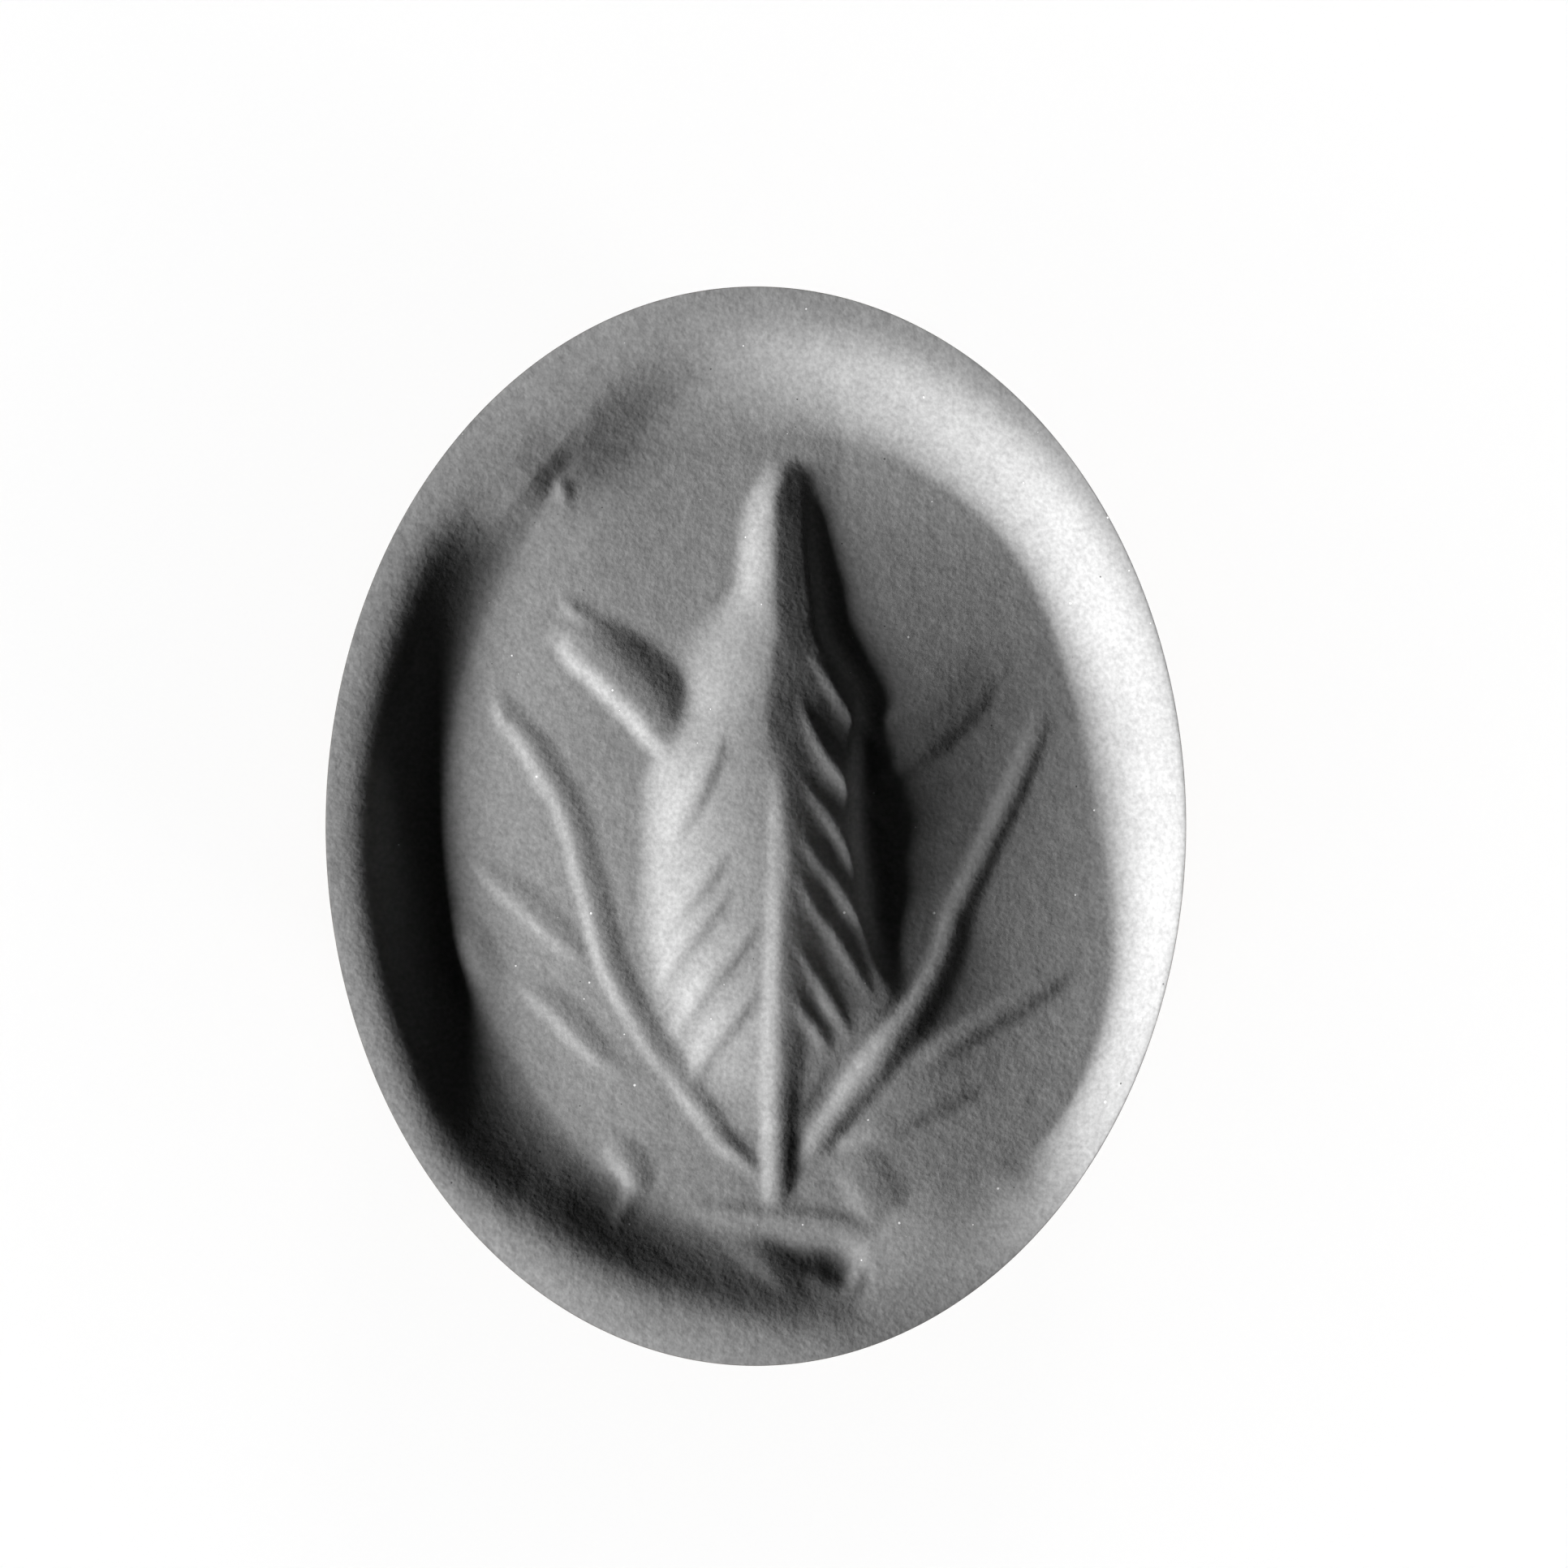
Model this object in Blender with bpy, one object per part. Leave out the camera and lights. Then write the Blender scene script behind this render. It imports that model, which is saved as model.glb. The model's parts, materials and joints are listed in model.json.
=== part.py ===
"""A hand seal stamp that stands on its pommel with its oval face up.

The face is a cast oval die: a flat rim round a sunken field, and on the field a plant in relief. The
die's tenon is cemented into an oval brass cup. A threaded stud in the cup's boss screws into an insert in
the turned wooden handle, so the head can be unscrewed and changed. +Z runs from the pommel to the face,
+Y is the top of the drawing, and the origin is the centre of the pommel's foot.
"""

import math

import bmesh
import bpy
from mathutils import Vector

MM = 0.001

# The oval die and its face
FACE_WIDTH = 19.94 * MM
FACE_HEIGHT = 25.0 * MM
FLANGE_THICKNESS = 4.2 * MM
EDGE_ROUND = 0.2 * MM
FIELD_DEPTH = 1.15 * MM
RIM_SIDE_WIDTH = 0.47 * MM
RIM_END_WIDTH = 1.3 * MM
RIM_SHIFT_X = 0.24 * MM
RIM_SHIFT_Y = -0.04 * MM
WALL_SIDE_WIDTH = 1.5 * MM
WALL_END_WIDTH = 1.4 * MM
FIELD_SHIFT_X = 0.2 * MM
FIELD_SHIFT_Y = -0.46 * MM
DIE_TENON_LENGTH = 2.6 * MM
CEMENT_THICKNESS = 0.35 * MM

# The brass cup that carries the die
CUP_SETBACK = 0.45 * MM
CUP_WALL = 1.1 * MM
CUP_FLOOR = 1.6 * MM
COVE_HEIGHT = 3.2 * MM
BOSS_LENGTH = 5.0 * MM
BOSS_WALL = 2.5 * MM

# The screw joint between head and handle
THREAD_RADIUS = 3.0 * MM
THREAD_DEPTH = 0.6 * MM
THREAD_PITCH = 1.0 * MM
THREAD_CLEARANCE = 0.15 * MM
THREAD_ENGAGEMENT = 8.0 * MM
STUD_SETBACK = 1.7 * MM
WASHER_THICKNESS = 0.8 * MM
WASHER_INSET = 0.1 * MM
INSERT_WALL = 1.25 * MM
INSERT_LENGTH = 10.0 * MM
INSERT_RECESS = 0.1 * MM
INSERT_GROOVE = 0.35 * MM

# The turned handle and its ferrule
HANDLE_LENGTH = 50.0 * MM
HANDLE_FOOT_RADIUS = 10.4 * MM
HANDLE_PALM_RADIUS = 11.6 * MM
HANDLE_PALM_HEIGHT = 9.0 * MM
HANDLE_WAIST_RADIUS = 6.1 * MM
WAIST_FROM_SHOULDER = 9.0 * MM
SHOULDER_STEP = 0.3 * MM
HANDLE_TENON_LENGTH = 8.6 * MM
TENON_WALL = 1.5 * MM
FERRULE_WALL = 1.0 * MM
FERRULE_END_WALL = 1.0 * MM
FERRULE_BEAD = 0.4 * MM
PIN_RADIUS = 0.65 * MM
PIN_LENGTH = 1.8 * MM
PIN_HEAD = 0.15 * MM
PIN_HEIGHT = 3.4 * MM

# The mark on the front of the handle's waist, which shows which way up the face prints
MARK_RADIUS = 1.1 * MM
MARK_LENGTH = 2.6 * MM
MARK_HEAD = 0.2 * MM

# The brass cap and screw at the foot of the handle
POMMEL_SEAT = 0.65 * MM
POMMEL_ROUND = 0.5 * MM
POMMEL_STEP = 0.2 * MM
SCREW_HEAD_RADIUS = 3.1 * MM
SCREW_HEAD_RIM = 0.15 * MM
SCREW_HEAD_DEPTH = 1.6 * MM
SCREW_SHANK_RADIUS = 1.4 * MM
SCREW_LENGTH = 14.0 * MM
SCREW_POINT = 3.0 * MM
SCREW_RECESS = 0.35 * MM
SLOT_WIDTH = 0.8 * MM
SLOT_DEPTH = 0.6 * MM

# Running and seating gaps
SEAT_GAP = 0.05 * MM
FIT_GAP = 0.08 * MM

# Sides of round and oval pieces
ROUND_SIDES = 36
OVAL_SIDES = 56
PIN_SIDES = 12
EAR_SIDES = 8
RIDGE_SIDES = 4
THREAD_SIDES = 12
THREAD_ROWS = 4
OUTLINE_STEPS = 4

# Levels up the stamp, from the foot to the face
screw_neck = SCREW_RECESS + SCREW_HEAD_DEPTH
pommel_top = screw_neck + POMMEL_SEAT
handle_base = pommel_top + SEAT_GAP
palm_level = handle_base + HANDLE_PALM_HEIGHT
shoulder = handle_base + HANDLE_LENGTH
waist_level = shoulder - WAIST_FROM_SHOULDER
pin_level = shoulder + PIN_HEIGHT
tenon_top = shoulder + HANDLE_TENON_LENGTH
ferrule_base = shoulder + SEAT_GAP
ferrule_inside = tenon_top + SEAT_GAP
ferrule_top = ferrule_inside + FERRULE_END_WALL
washer_base = ferrule_top + SEAT_GAP
washer_top = washer_base + WASHER_THICKNESS
boss_base = washer_top + SEAT_GAP
cup_underside = boss_base + BOSS_LENGTH + COVE_HEIGHT
cavity_floor = cup_underside + CUP_FLOOR
cement_base = cavity_floor + SEAT_GAP
cement_top = cement_base + CEMENT_THICKNESS
die_tenon_base = cement_top + SEAT_GAP
flange_base = die_tenon_base + DIE_TENON_LENGTH
cup_rim = flange_base - SEAT_GAP
face_level = flange_base + FLANGE_THICKNESS
field_level = face_level - FIELD_DEPTH
insert_top = tenon_top - INSERT_RECESS
insert_base = insert_top - INSERT_LENGTH
stud_base = insert_top - THREAD_ENGAGEMENT
stud_top = cup_underside - STUD_SETBACK

# Radii that follow from the fits
stud_hole_radius = THREAD_RADIUS + THREAD_CLEARANCE
insert_radius = stud_hole_radius + INSERT_WALL
insert_hole_radius = insert_radius + FIT_GAP
tenon_radius = insert_hole_radius + TENON_WALL
ferrule_inner_radius = tenon_radius + FIT_GAP
ferrule_radius = ferrule_inner_radius + FERRULE_WALL
shoulder_radius = ferrule_radius + SHOULDER_STEP
boss_hole_radius = THREAD_RADIUS + FIT_GAP
boss_radius = boss_hole_radius + BOSS_WALL
washer_radius = boss_radius - WASHER_INSET
pilot_radius = SCREW_SHANK_RADIUS + FIT_GAP
die_tenon_inset = CUP_SETBACK + CUP_WALL + FIT_GAP

# The plant is set out in millimetres on a face of this size, from the middle of the face
DRAWING_WIDTH = 19.94 * MM
DRAWING_HEIGHT = 25.0 * MM
RIDGE_ROOT = 0.35 * MM
ROOT_STEP = 0.01 * MM

# Each ridge is a row of stations: x, y, half width and height above the field, in millimetres
EAR = [
    (0.40, 8.10, 0.25, 0.30),
    (0.43, 7.48, 0.58, 0.60),
    (0.50, 6.35, 0.82, 0.80),
    (0.53, 5.23, 1.00, 0.86),
    (0.42, 4.40, 1.34, 0.86),
    (0.46, 3.20, 1.75, 0.84),
    (0.50, 1.90, 2.20, 0.81),
    (0.42, 0.50, 2.58, 0.78),
    (0.31, -0.90, 2.63, 0.74),
    (0.23, -2.30, 2.52, 0.67),
    (0.18, -3.60, 2.32, 0.57),
    (0.14, -4.60, 1.85, 0.46),
    (0.14, -5.50, 1.30, 0.34),
    (0.16, -6.15, 0.60, 0.20),
]
CENTRAL_STEM = [
    (0.57, 1.90, 0.12, 0.82),
    (0.55, 1.10, 0.24, 0.93),
    (0.50, -1.54, 0.27, 0.93),
    (0.47, -3.60, 0.27, 0.80),
    (0.44, -5.30, 0.27, 0.58),
    (0.40, -7.20, 0.27, 0.45),
    (0.35, -8.65, 0.14, 0.30),
]
LEFT_STEM = [
    (-6.12, 3.38, 0.16, 0.10),
    (-5.48, 2.12, 0.30, 0.26),
    (-4.95, 1.22, 0.36, 0.32),
    (-4.24, -0.23, 0.37, 0.34),
    (-3.67, -2.11, 0.37, 0.36),
    (-2.89, -4.36, 0.35, 0.36),
    (-1.57, -6.28, 0.32, 0.34),
    (-0.70, -7.30, 0.27, 0.30),
    (0.07, -8.08, 0.16, 0.20),
]
RIGHT_STEM = [
    (6.70, 2.44, 0.16, 0.10),
    (5.93, 0.75, 0.30, 0.24),
    (5.01, -0.83, 0.35, 0.30),
    (3.75, -3.85, 0.37, 0.36),
    (2.87, -5.19, 0.37, 0.38),
    (1.89, -6.71, 0.33, 0.36),
    (1.10, -7.63, 0.20, 0.24),
]
LEFT_LEAF = [
    (-4.45, 4.96, 0.40, 0.14),
    (-4.05, 4.62, 0.72, 0.36),
    (-3.10, 3.75, 0.88, 0.48),
    (-2.20, 2.65, 0.92, 0.52),
    (-1.30, 1.50, 0.85, 0.50),
]
RIGHT_LEAF = [
    (5.20, 3.30, 0.30, 0.10),
    (4.55, 2.75, 0.60, 0.26),
    (3.60, 1.95, 0.72, 0.38),
    (2.50, 1.10, 0.70, 0.44),
]
LEAFLETS = [
    [(-6.42, -0.90, 0.14, 0.12), (-5.29, -1.88, 0.25, 0.22), (-4.16, -2.82, 0.14, 0.12)],
    [(-5.20, -3.76, 0.14, 0.12), (-4.13, -4.70, 0.25, 0.22), (-3.00, -5.56, 0.14, 0.12)],
    [(6.74, -3.72, 0.14, 0.08), (5.33, -4.40, 0.26, 0.18), (3.92, -5.11, 0.18, 0.12)],
    [(5.14, -6.24, 0.14, 0.08), (3.54, -6.71, 0.28, 0.18), (2.13, -7.22, 0.22, 0.12)],
]
BASE_BARS = [
    [(-1.31, -8.86, 0.24, 0.12), (0.40, -9.05, 0.34, 0.24), (2.11, -9.32, 0.26, 0.14)],
    [(-0.40, -9.95, 0.30, 0.16), (0.50, -10.15, 0.42, 0.30), (1.60, -10.45, 0.28, 0.14)],
]

# The ear's barbs, as the inner and outer end of each, in millimetres
LEFT_BARBS = [
    ((-0.97, 1.84), (-2.17, 0.10)),
    ((-0.78, 1.00), (-2.28, -0.98)),
    ((-0.55, 0.10), (-2.30, -2.22)),
    ((-0.31, -0.95), (-2.16, -3.48)),
    ((-0.05, -2.20), (-1.76, -4.53)),
    ((0.10, -3.60), (-1.36, -5.58)),
]
RIGHT_BARBS = [
    ((1.36, 3.91), (2.75, 1.84)),
    ((0.99, 2.86), (2.92, -0.21)),
    ((1.04, 1.22), (2.86, -1.56)),
    ((1.04, 0.00), (2.74, -2.62)),
    ((0.99, -1.20), (2.62, -3.76)),
    ((0.93, -2.61), (2.19, -4.72)),
    ((0.84, -3.86), (1.70, -5.31)),
]
BARB_HALF_WIDTH = 0.25
BARB_INNER_HEIGHT = 0.78
BARB_OUTER_HEIGHT = 0.34
BARB_FALL = 0.06


def clear_scene():
    for obj in list(bpy.data.objects):
        bpy.data.objects.remove(obj)


def principled(name, colour, roughness, metallic=0.0):
    material = bpy.data.materials.new(name)
    material.use_nodes = True
    shader = material.node_tree.nodes["Principled BSDF"]
    shader.inputs["Base Color"].default_value = (*colour, 1.0)
    shader.inputs["Roughness"].default_value = roughness
    shader.inputs["Metallic"].default_value = metallic
    return material


def add_object(name, mesh_data, material):
    """Makes an object of a bmesh, smooth except at its sharp edges."""
    bmesh.ops.recalc_face_normals(mesh_data, faces=mesh_data.faces)
    mesh = bpy.data.meshes.new(name)
    mesh_data.to_mesh(mesh)
    mesh_data.free()
    mesh.materials.append(material)
    mesh.shade_smooth()
    mesh.set_sharp_from_angle(angle=math.radians(35))
    obj = bpy.data.objects.new(name, mesh)
    bpy.context.scene.collection.objects.link(obj)
    return obj


def circle(radius, level):
    return (radius, radius, level, 0.0, 0.0)


def oval(inset, level):
    """The die's outline, drawn in by inset."""
    return (FACE_WIDTH / 2 - inset, FACE_HEIGHT / 2 - inset, level, 0.0, 0.0)


def quarter(radius, level, size, start, steps=3):
    """Circles that round a turned corner by size, about a centre at radius and level, from start degrees."""
    rings = []
    for step in range(steps + 1):
        angle = math.radians(start + 90 * step / steps)
        rings.append(circle(radius + size * math.cos(angle), level + size * math.sin(angle)))
    return rings


def ring_solid(name, rings, sides, material, through=False):
    """A solid whose skin runs from ring to ring, capped at both ends or, if pierced, joined end to end."""
    skin = bmesh.new()
    loops = []
    for semi_x, semi_y, level, shift_x, shift_y in rings:
        loop = bmesh.ops.create_circle(skin, segments=sides, radius=1.0)["verts"]
        bmesh.ops.scale(skin, verts=loop, vec=(semi_x, semi_y, 1.0))
        bmesh.ops.translate(skin, verts=loop, vec=(shift_x, shift_y, level))
        loops.append(loop)
    pairs = list(zip(loops, loops[1:]))
    if through:
        pairs.append((loops[-1], loops[0]))
    else:
        skin.faces.new(loops[0])
        skin.faces.new(loops[-1])
    for lower, upper in pairs:
        for here in range(sides):
            after = (here + 1) % sides
            skin.faces.new((lower[here], lower[after], upper[after], upper[here]))
    return add_object(name, skin, material)


def catmull_rom(stations, steps):
    """Points on a smooth curve through stations, which are tuples of any length."""
    padded = [stations[0], *stations, stations[-1]]
    points = []
    for before, start, end, after in zip(padded, padded[1:], padded[2:], padded[3:]):
        for step in range(steps):
            t = step / steps
            point = []
            for a, b, c, d in zip(before, start, end, after):
                square = (2 * a - 5 * b + 4 * c - d) * t**2
                cube = (3 * b - a - 3 * c + d) * t**3
                point.append(0.5 * (2 * b + (c - a) * t + square + cube))
            points.append(tuple(point))
    return [*points, tuple(stations[-1])]


def apply_modifier(target, modifier):
    with bpy.context.temp_override(object=target, active_object=target):
        bpy.ops.object.modifier_apply(modifier=modifier.name)


def combine(target, other, operation):
    """Joins other's shape to target or takes it out, and removes other."""
    modifier = target.modifiers.new(operation.title(), "BOOLEAN")
    modifier.operation = operation
    modifier.solver = "EXACT"
    modifier.object = other
    apply_modifier(target, modifier)
    bpy.data.objects.remove(other)


def drill(target, radius, depth, seat, direction):
    """Drills a round hole along direction, from a little outside seat to depth inside it."""
    material = target.data.materials[0]
    bit = ring_solid("bit", [circle(radius, -depth), circle(radius, depth)], PIN_SIDES, material)
    bit.location = seat
    bit.rotation_euler = Vector(direction).to_track_quat("Z", "Y").to_euler()
    bpy.context.view_layer.update()
    combine(target, bit, "DIFFERENCE")


def domed_pin(name, radius, length, head, seat, direction, material):
    """A pin along direction. Its domed head stands head proud of seat, and its shank runs back from there."""
    rings = [
        circle(radius, -length),
        circle(radius, 0.0),
        circle(radius * 0.85, head * 0.6),
        circle(radius * 0.4, head),
    ]
    pin = ring_solid(name, rings, PIN_SIDES, material)
    pin.location = seat
    pin.rotation_euler = Vector(direction).to_track_quat("Z", "Y").to_euler()
    return pin


def ridge(stations, sides, root, material):
    """One raised stroke of the plant: a rounded section swept through stations, rooted in the field."""
    scale_x = FACE_WIDTH / DRAWING_WIDTH
    scale_y = FACE_HEIGHT / DRAWING_HEIGHT
    skin = bmesh.new()
    rows = []
    for number, (x, y, half_width, height) in enumerate(stations):
        before = Vector(stations[max(number - 1, 0)][:2])
        after = Vector(stations[min(number + 1, len(stations) - 1)][:2])
        along = (after - before).normalized()
        across = Vector((along.y * scale_x, -along.x * scale_y))
        centre = Vector((x * scale_x, y * scale_y))
        section = [(-half_width, -root)]
        for turn in range(sides + 1):
            angle = math.pi * turn / sides
            section.append((-half_width * math.cos(angle), height * MM * math.sin(angle)))
        section.append((half_width, -root))
        row = []
        for offset, rise in section:
            place = (centre + across * offset) * MM
            row.append(skin.verts.new((place.x, place.y, field_level + rise)))
        rows.append(row)
    count = len(rows[0])
    for lower, upper in zip(rows, rows[1:]):
        for here in range(count):
            after = (here + 1) % count
            skin.faces.new((lower[here], lower[after], upper[after], upper[here]))
    skin.faces.new(rows[0])
    skin.faces.new(rows[-1])
    return add_object("ridge", skin, material)


def barb(inner, outer, height_inner):
    """Stations of one barb, which runs down from the ear's spine to its edge."""
    middle = tuple((a + b) / 2 for a, b in zip(inner, outer))
    middle_height = BARB_OUTER_HEIGHT + 0.75 * (height_inner - BARB_OUTER_HEIGHT)
    return [
        (*inner, BARB_HALF_WIDTH * 0.6, height_inner),
        (*middle, BARB_HALF_WIDTH, middle_height),
        (*outer, BARB_HALF_WIDTH * 0.5, BARB_OUTER_HEIGHT),
    ]


def plant_strokes():
    """The stations of all the plant's strokes except the ear."""
    strokes = [CENTRAL_STEM, LEFT_STEM, RIGHT_STEM, *LEAFLETS, *BASE_BARS]
    strokes += [catmull_rom(leaf, 2) for leaf in (LEFT_LEAF, RIGHT_LEAF)]
    for side in (LEFT_BARBS, RIGHT_BARBS):
        for number, (inner, outer) in enumerate(side):
            strokes.append(barb(inner, outer, BARB_INNER_HEIGHT - BARB_FALL * max(number - 2, 0)))
    return strokes


def wall_ring(share, drop):
    """A ring of the wall between the rim, where share and drop are 0, and the field, where both are 1."""
    return (
        FACE_WIDTH / 2 - RIM_SIDE_WIDTH - WALL_SIDE_WIDTH * share,
        FACE_HEIGHT / 2 - RIM_END_WIDTH - WALL_END_WIDTH * share,
        face_level - FIELD_DEPTH * drop,
        RIM_SHIFT_X + FIELD_SHIFT_X * share,
        RIM_SHIFT_Y + FIELD_SHIFT_Y * share,
    )


def seal_die(material):
    rings = [
        oval(die_tenon_inset, die_tenon_base),
        oval(die_tenon_inset, flange_base),
        oval(EDGE_ROUND, flange_base),
        oval(0.0, flange_base + EDGE_ROUND),
        oval(0.0, face_level - EDGE_ROUND),
        oval(EDGE_ROUND * 0.3, face_level - EDGE_ROUND * 0.3),
        oval(EDGE_ROUND, face_level),
        wall_ring(0.0, 0.0),
        wall_ring(0.2, 0.08),
        wall_ring(0.5, 0.5),
        wall_ring(0.8, 0.92),
        wall_ring(1.0, 1.0),
    ]
    die = ring_solid("seal_die", rings, OVAL_SIDES, material)
    combine(die, ridge(EAR, EAR_SIDES, RIDGE_ROOT, material), "UNION")
    for number, stations in enumerate(plant_strokes(), start=1):
        stroke = ridge(stations, RIDGE_SIDES, RIDGE_ROOT + number * ROOT_STEP, material)
        combine(die, stroke, "UNION")
    return die


def setting_cement(material):
    rings = [oval(die_tenon_inset, cement_base), oval(die_tenon_inset, cement_top)]
    return ring_solid("setting_cement", rings, OVAL_SIDES, material)


def die_cup(material):
    inside = CUP_SETBACK + CUP_WALL
    cove_start = boss_base + BOSS_LENGTH
    rings = [
        oval(inside, cavity_floor),
        oval(inside, cup_rim),
        oval(CUP_SETBACK, cup_rim),
        oval(CUP_SETBACK, cup_underside + CUP_FLOOR * 0.5),
        oval(CUP_SETBACK + 0.5 * CUP_WALL, cup_underside),
    ]
    for share, drop in ((0.35, 0.14), (0.65, 0.36), (0.88, 0.66)):
        semi_x, semi_y, level = rings[4][:3]
        semi_x += (boss_radius - semi_x) * share
        semi_y += (boss_radius - semi_y) * share
        rings.append((semi_x, semi_y, level - COVE_HEIGHT * drop, 0.0, 0.0))
    rings += [
        circle(boss_radius, cove_start),
        circle(boss_radius, boss_base + EDGE_ROUND),
        circle(boss_radius - EDGE_ROUND, boss_base),
        circle(boss_hole_radius, boss_base),
        circle(boss_hole_radius, stud_top + SEAT_GAP),
    ]
    return ring_solid("die_cup", rings, OVAL_SIDES, material)


def threaded_stud(material):
    """A stud whose radius follows a triangular wave along a right-hand helix that fades out at both ends."""
    length = stud_top - stud_base
    rows = round(length / THREAD_PITCH * THREAD_ROWS)
    skin = bmesh.new()
    loops = []
    for row in range(rows + 1):
        level = stud_base + length * row / rows
        fade = min(1.0, min(row, rows - row) / THREAD_ROWS)
        loop = []
        for side in range(THREAD_SIDES):
            share = side / THREAD_SIDES
            phase = ((level - stud_base) / THREAD_PITCH - share) % 1.0
            crest = 1.0 - abs(2.0 * phase - 1.0)
            radius = THREAD_RADIUS - THREAD_DEPTH * (1.0 - crest * fade)
            angle = 2 * math.pi * share
            loop.append(skin.verts.new((radius * math.cos(angle), radius * math.sin(angle), level)))
        loops.append(loop)
    for lower, upper in zip(loops, loops[1:]):
        for here in range(THREAD_SIDES):
            after = (here + 1) % THREAD_SIDES
            skin.faces.new((lower[here], lower[after], upper[after], upper[here]))
    skin.faces.new(loops[0])
    skin.faces.new(loops[-1])
    return add_object("threaded_stud", skin, material)


def seat_washer(material):
    rings = [
        circle(stud_hole_radius, washer_base),
        circle(washer_radius, washer_base),
        circle(washer_radius, washer_top),
        circle(stud_hole_radius, washer_top),
    ]
    return ring_solid("seat_washer", rings, ROUND_SIDES, material, through=True)


def threaded_insert(material):
    groove = insert_radius - INSERT_GROOVE
    step = INSERT_LENGTH / 7
    rings = [circle(stud_hole_radius, insert_base), circle(insert_radius, insert_base)]
    for low in (1, 3, 5):
        rings += [
            circle(insert_radius, insert_base + low * step),
            circle(groove, insert_base + (low + 0.2) * step),
            circle(groove, insert_base + (low + 0.8) * step),
            circle(insert_radius, insert_base + (low + 1) * step),
        ]
    rings += [circle(insert_radius, insert_top), circle(stud_hole_radius, insert_top)]
    return ring_solid("threaded_insert", rings, ROUND_SIDES, material, through=True)


def ferrule(material):
    bead_level = ferrule_base + FERRULE_BEAD
    end_radius = ferrule_radius - FERRULE_BEAD
    rings = [
        circle(ferrule_inner_radius, ferrule_base),
        *quarter(ferrule_radius, bead_level, FERRULE_BEAD, -90),
        *quarter(ferrule_radius, bead_level, FERRULE_BEAD, 0)[1:],
        *quarter(end_radius, ferrule_top - FERRULE_BEAD, FERRULE_BEAD, 0),
        circle(stud_hole_radius, ferrule_top),
        circle(stud_hole_radius, ferrule_inside),
        circle(ferrule_inner_radius, ferrule_inside),
    ]
    made = ring_solid("ferrule", rings, ROUND_SIDES, material, through=True)
    for side in (-1, 1):
        drill(made, PIN_RADIUS + FIT_GAP, PIN_LENGTH, (side * ferrule_radius, 0, pin_level), (side, 0, 0))
    return made


def handle_outline():
    """Circles down the turned outline: out to the palm, in to the waist and out to the shoulder."""
    rings = []
    for step in range(OUTLINE_STEPS):
        share = step / OUTLINE_STEPS
        swell = math.sin(math.pi / 2 * share)
        radius = HANDLE_FOOT_RADIUS + (HANDLE_PALM_RADIUS - HANDLE_FOOT_RADIUS) * swell
        rings.append(circle(radius, handle_base + HANDLE_PALM_HEIGHT * share))
    for step in range(2 * OUTLINE_STEPS):
        share = step / (2 * OUTLINE_STEPS)
        fall = (1 - math.cos(math.pi * share)) / 2
        radius = HANDLE_PALM_RADIUS + (HANDLE_WAIST_RADIUS - HANDLE_PALM_RADIUS) * fall
        rings.append(circle(radius, palm_level + (waist_level - palm_level) * share))
    for step in range(OUTLINE_STEPS + 1):
        share = step / OUTLINE_STEPS
        flare = 1 - math.cos(math.pi / 2 * share)
        radius = HANDLE_WAIST_RADIUS + (shoulder_radius - HANDLE_WAIST_RADIUS) * flare
        rings.append(circle(radius, waist_level + WAIST_FROM_SHOULDER * share))
    return rings


def handle(material):
    rings = [
        circle(pilot_radius, SCREW_RECESS + SCREW_LENGTH + SEAT_GAP),
        circle(pilot_radius, handle_base),
        *handle_outline(),
        circle(tenon_radius, shoulder),
        circle(tenon_radius, tenon_top),
        circle(insert_hole_radius, tenon_top),
        circle(insert_hole_radius, insert_base - SEAT_GAP),
    ]
    made = ring_solid("handle", rings, ROUND_SIDES, material)
    depth = PIN_LENGTH + SEAT_GAP
    for side in (-1, 1):
        drill(made, PIN_RADIUS + FIT_GAP, depth, (side * ferrule_radius, 0, pin_level), (side, 0, 0))
    depth = MARK_LENGTH + SEAT_GAP
    drill(made, MARK_RADIUS + FIT_GAP, depth, (0, -HANDLE_WAIST_RADIUS, waist_level), (0, -1, 0))
    return made


def pommel_cap(material):
    sink_radius = SCREW_HEAD_RADIUS + FIT_GAP
    edge = HANDLE_FOOT_RADIUS - POMMEL_ROUND + POMMEL_STEP
    rings = [
        circle(pilot_radius, screw_neck),
        circle(sink_radius, SCREW_RECESS + SCREW_HEAD_RIM),
        circle(sink_radius, 0.0),
        *quarter(edge, POMMEL_ROUND, POMMEL_ROUND, -90),
        *quarter(edge, pommel_top - POMMEL_ROUND, POMMEL_ROUND, 0),
        circle(pilot_radius, pommel_top),
    ]
    return ring_solid("pommel_cap", rings, ROUND_SIDES, material, through=True)


def pommel_screw(material):
    rings = [
        circle(SCREW_HEAD_RADIUS, SCREW_RECESS),
        circle(SCREW_HEAD_RADIUS, SCREW_RECESS + SCREW_HEAD_RIM),
        circle(SCREW_SHANK_RADIUS, screw_neck),
        circle(SCREW_SHANK_RADIUS, SCREW_RECESS + SCREW_LENGTH - SCREW_POINT),
        circle(SCREW_SHANK_RADIUS * 0.15, SCREW_RECESS + SCREW_LENGTH),
    ]
    screw = ring_solid("pommel_screw", rings, ROUND_SIDES, material)
    slot = bmesh.new()
    bmesh.ops.create_cube(slot, size=1.0)
    bmesh.ops.scale(slot, verts=slot.verts, vec=(3 * SCREW_HEAD_RADIUS, SLOT_WIDTH, 2 * SLOT_DEPTH))
    bmesh.ops.translate(slot, verts=slot.verts, vec=(0, 0, SCREW_RECESS))
    combine(screw, add_object("slot", slot, material), "DIFFERENCE")
    return screw


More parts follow.
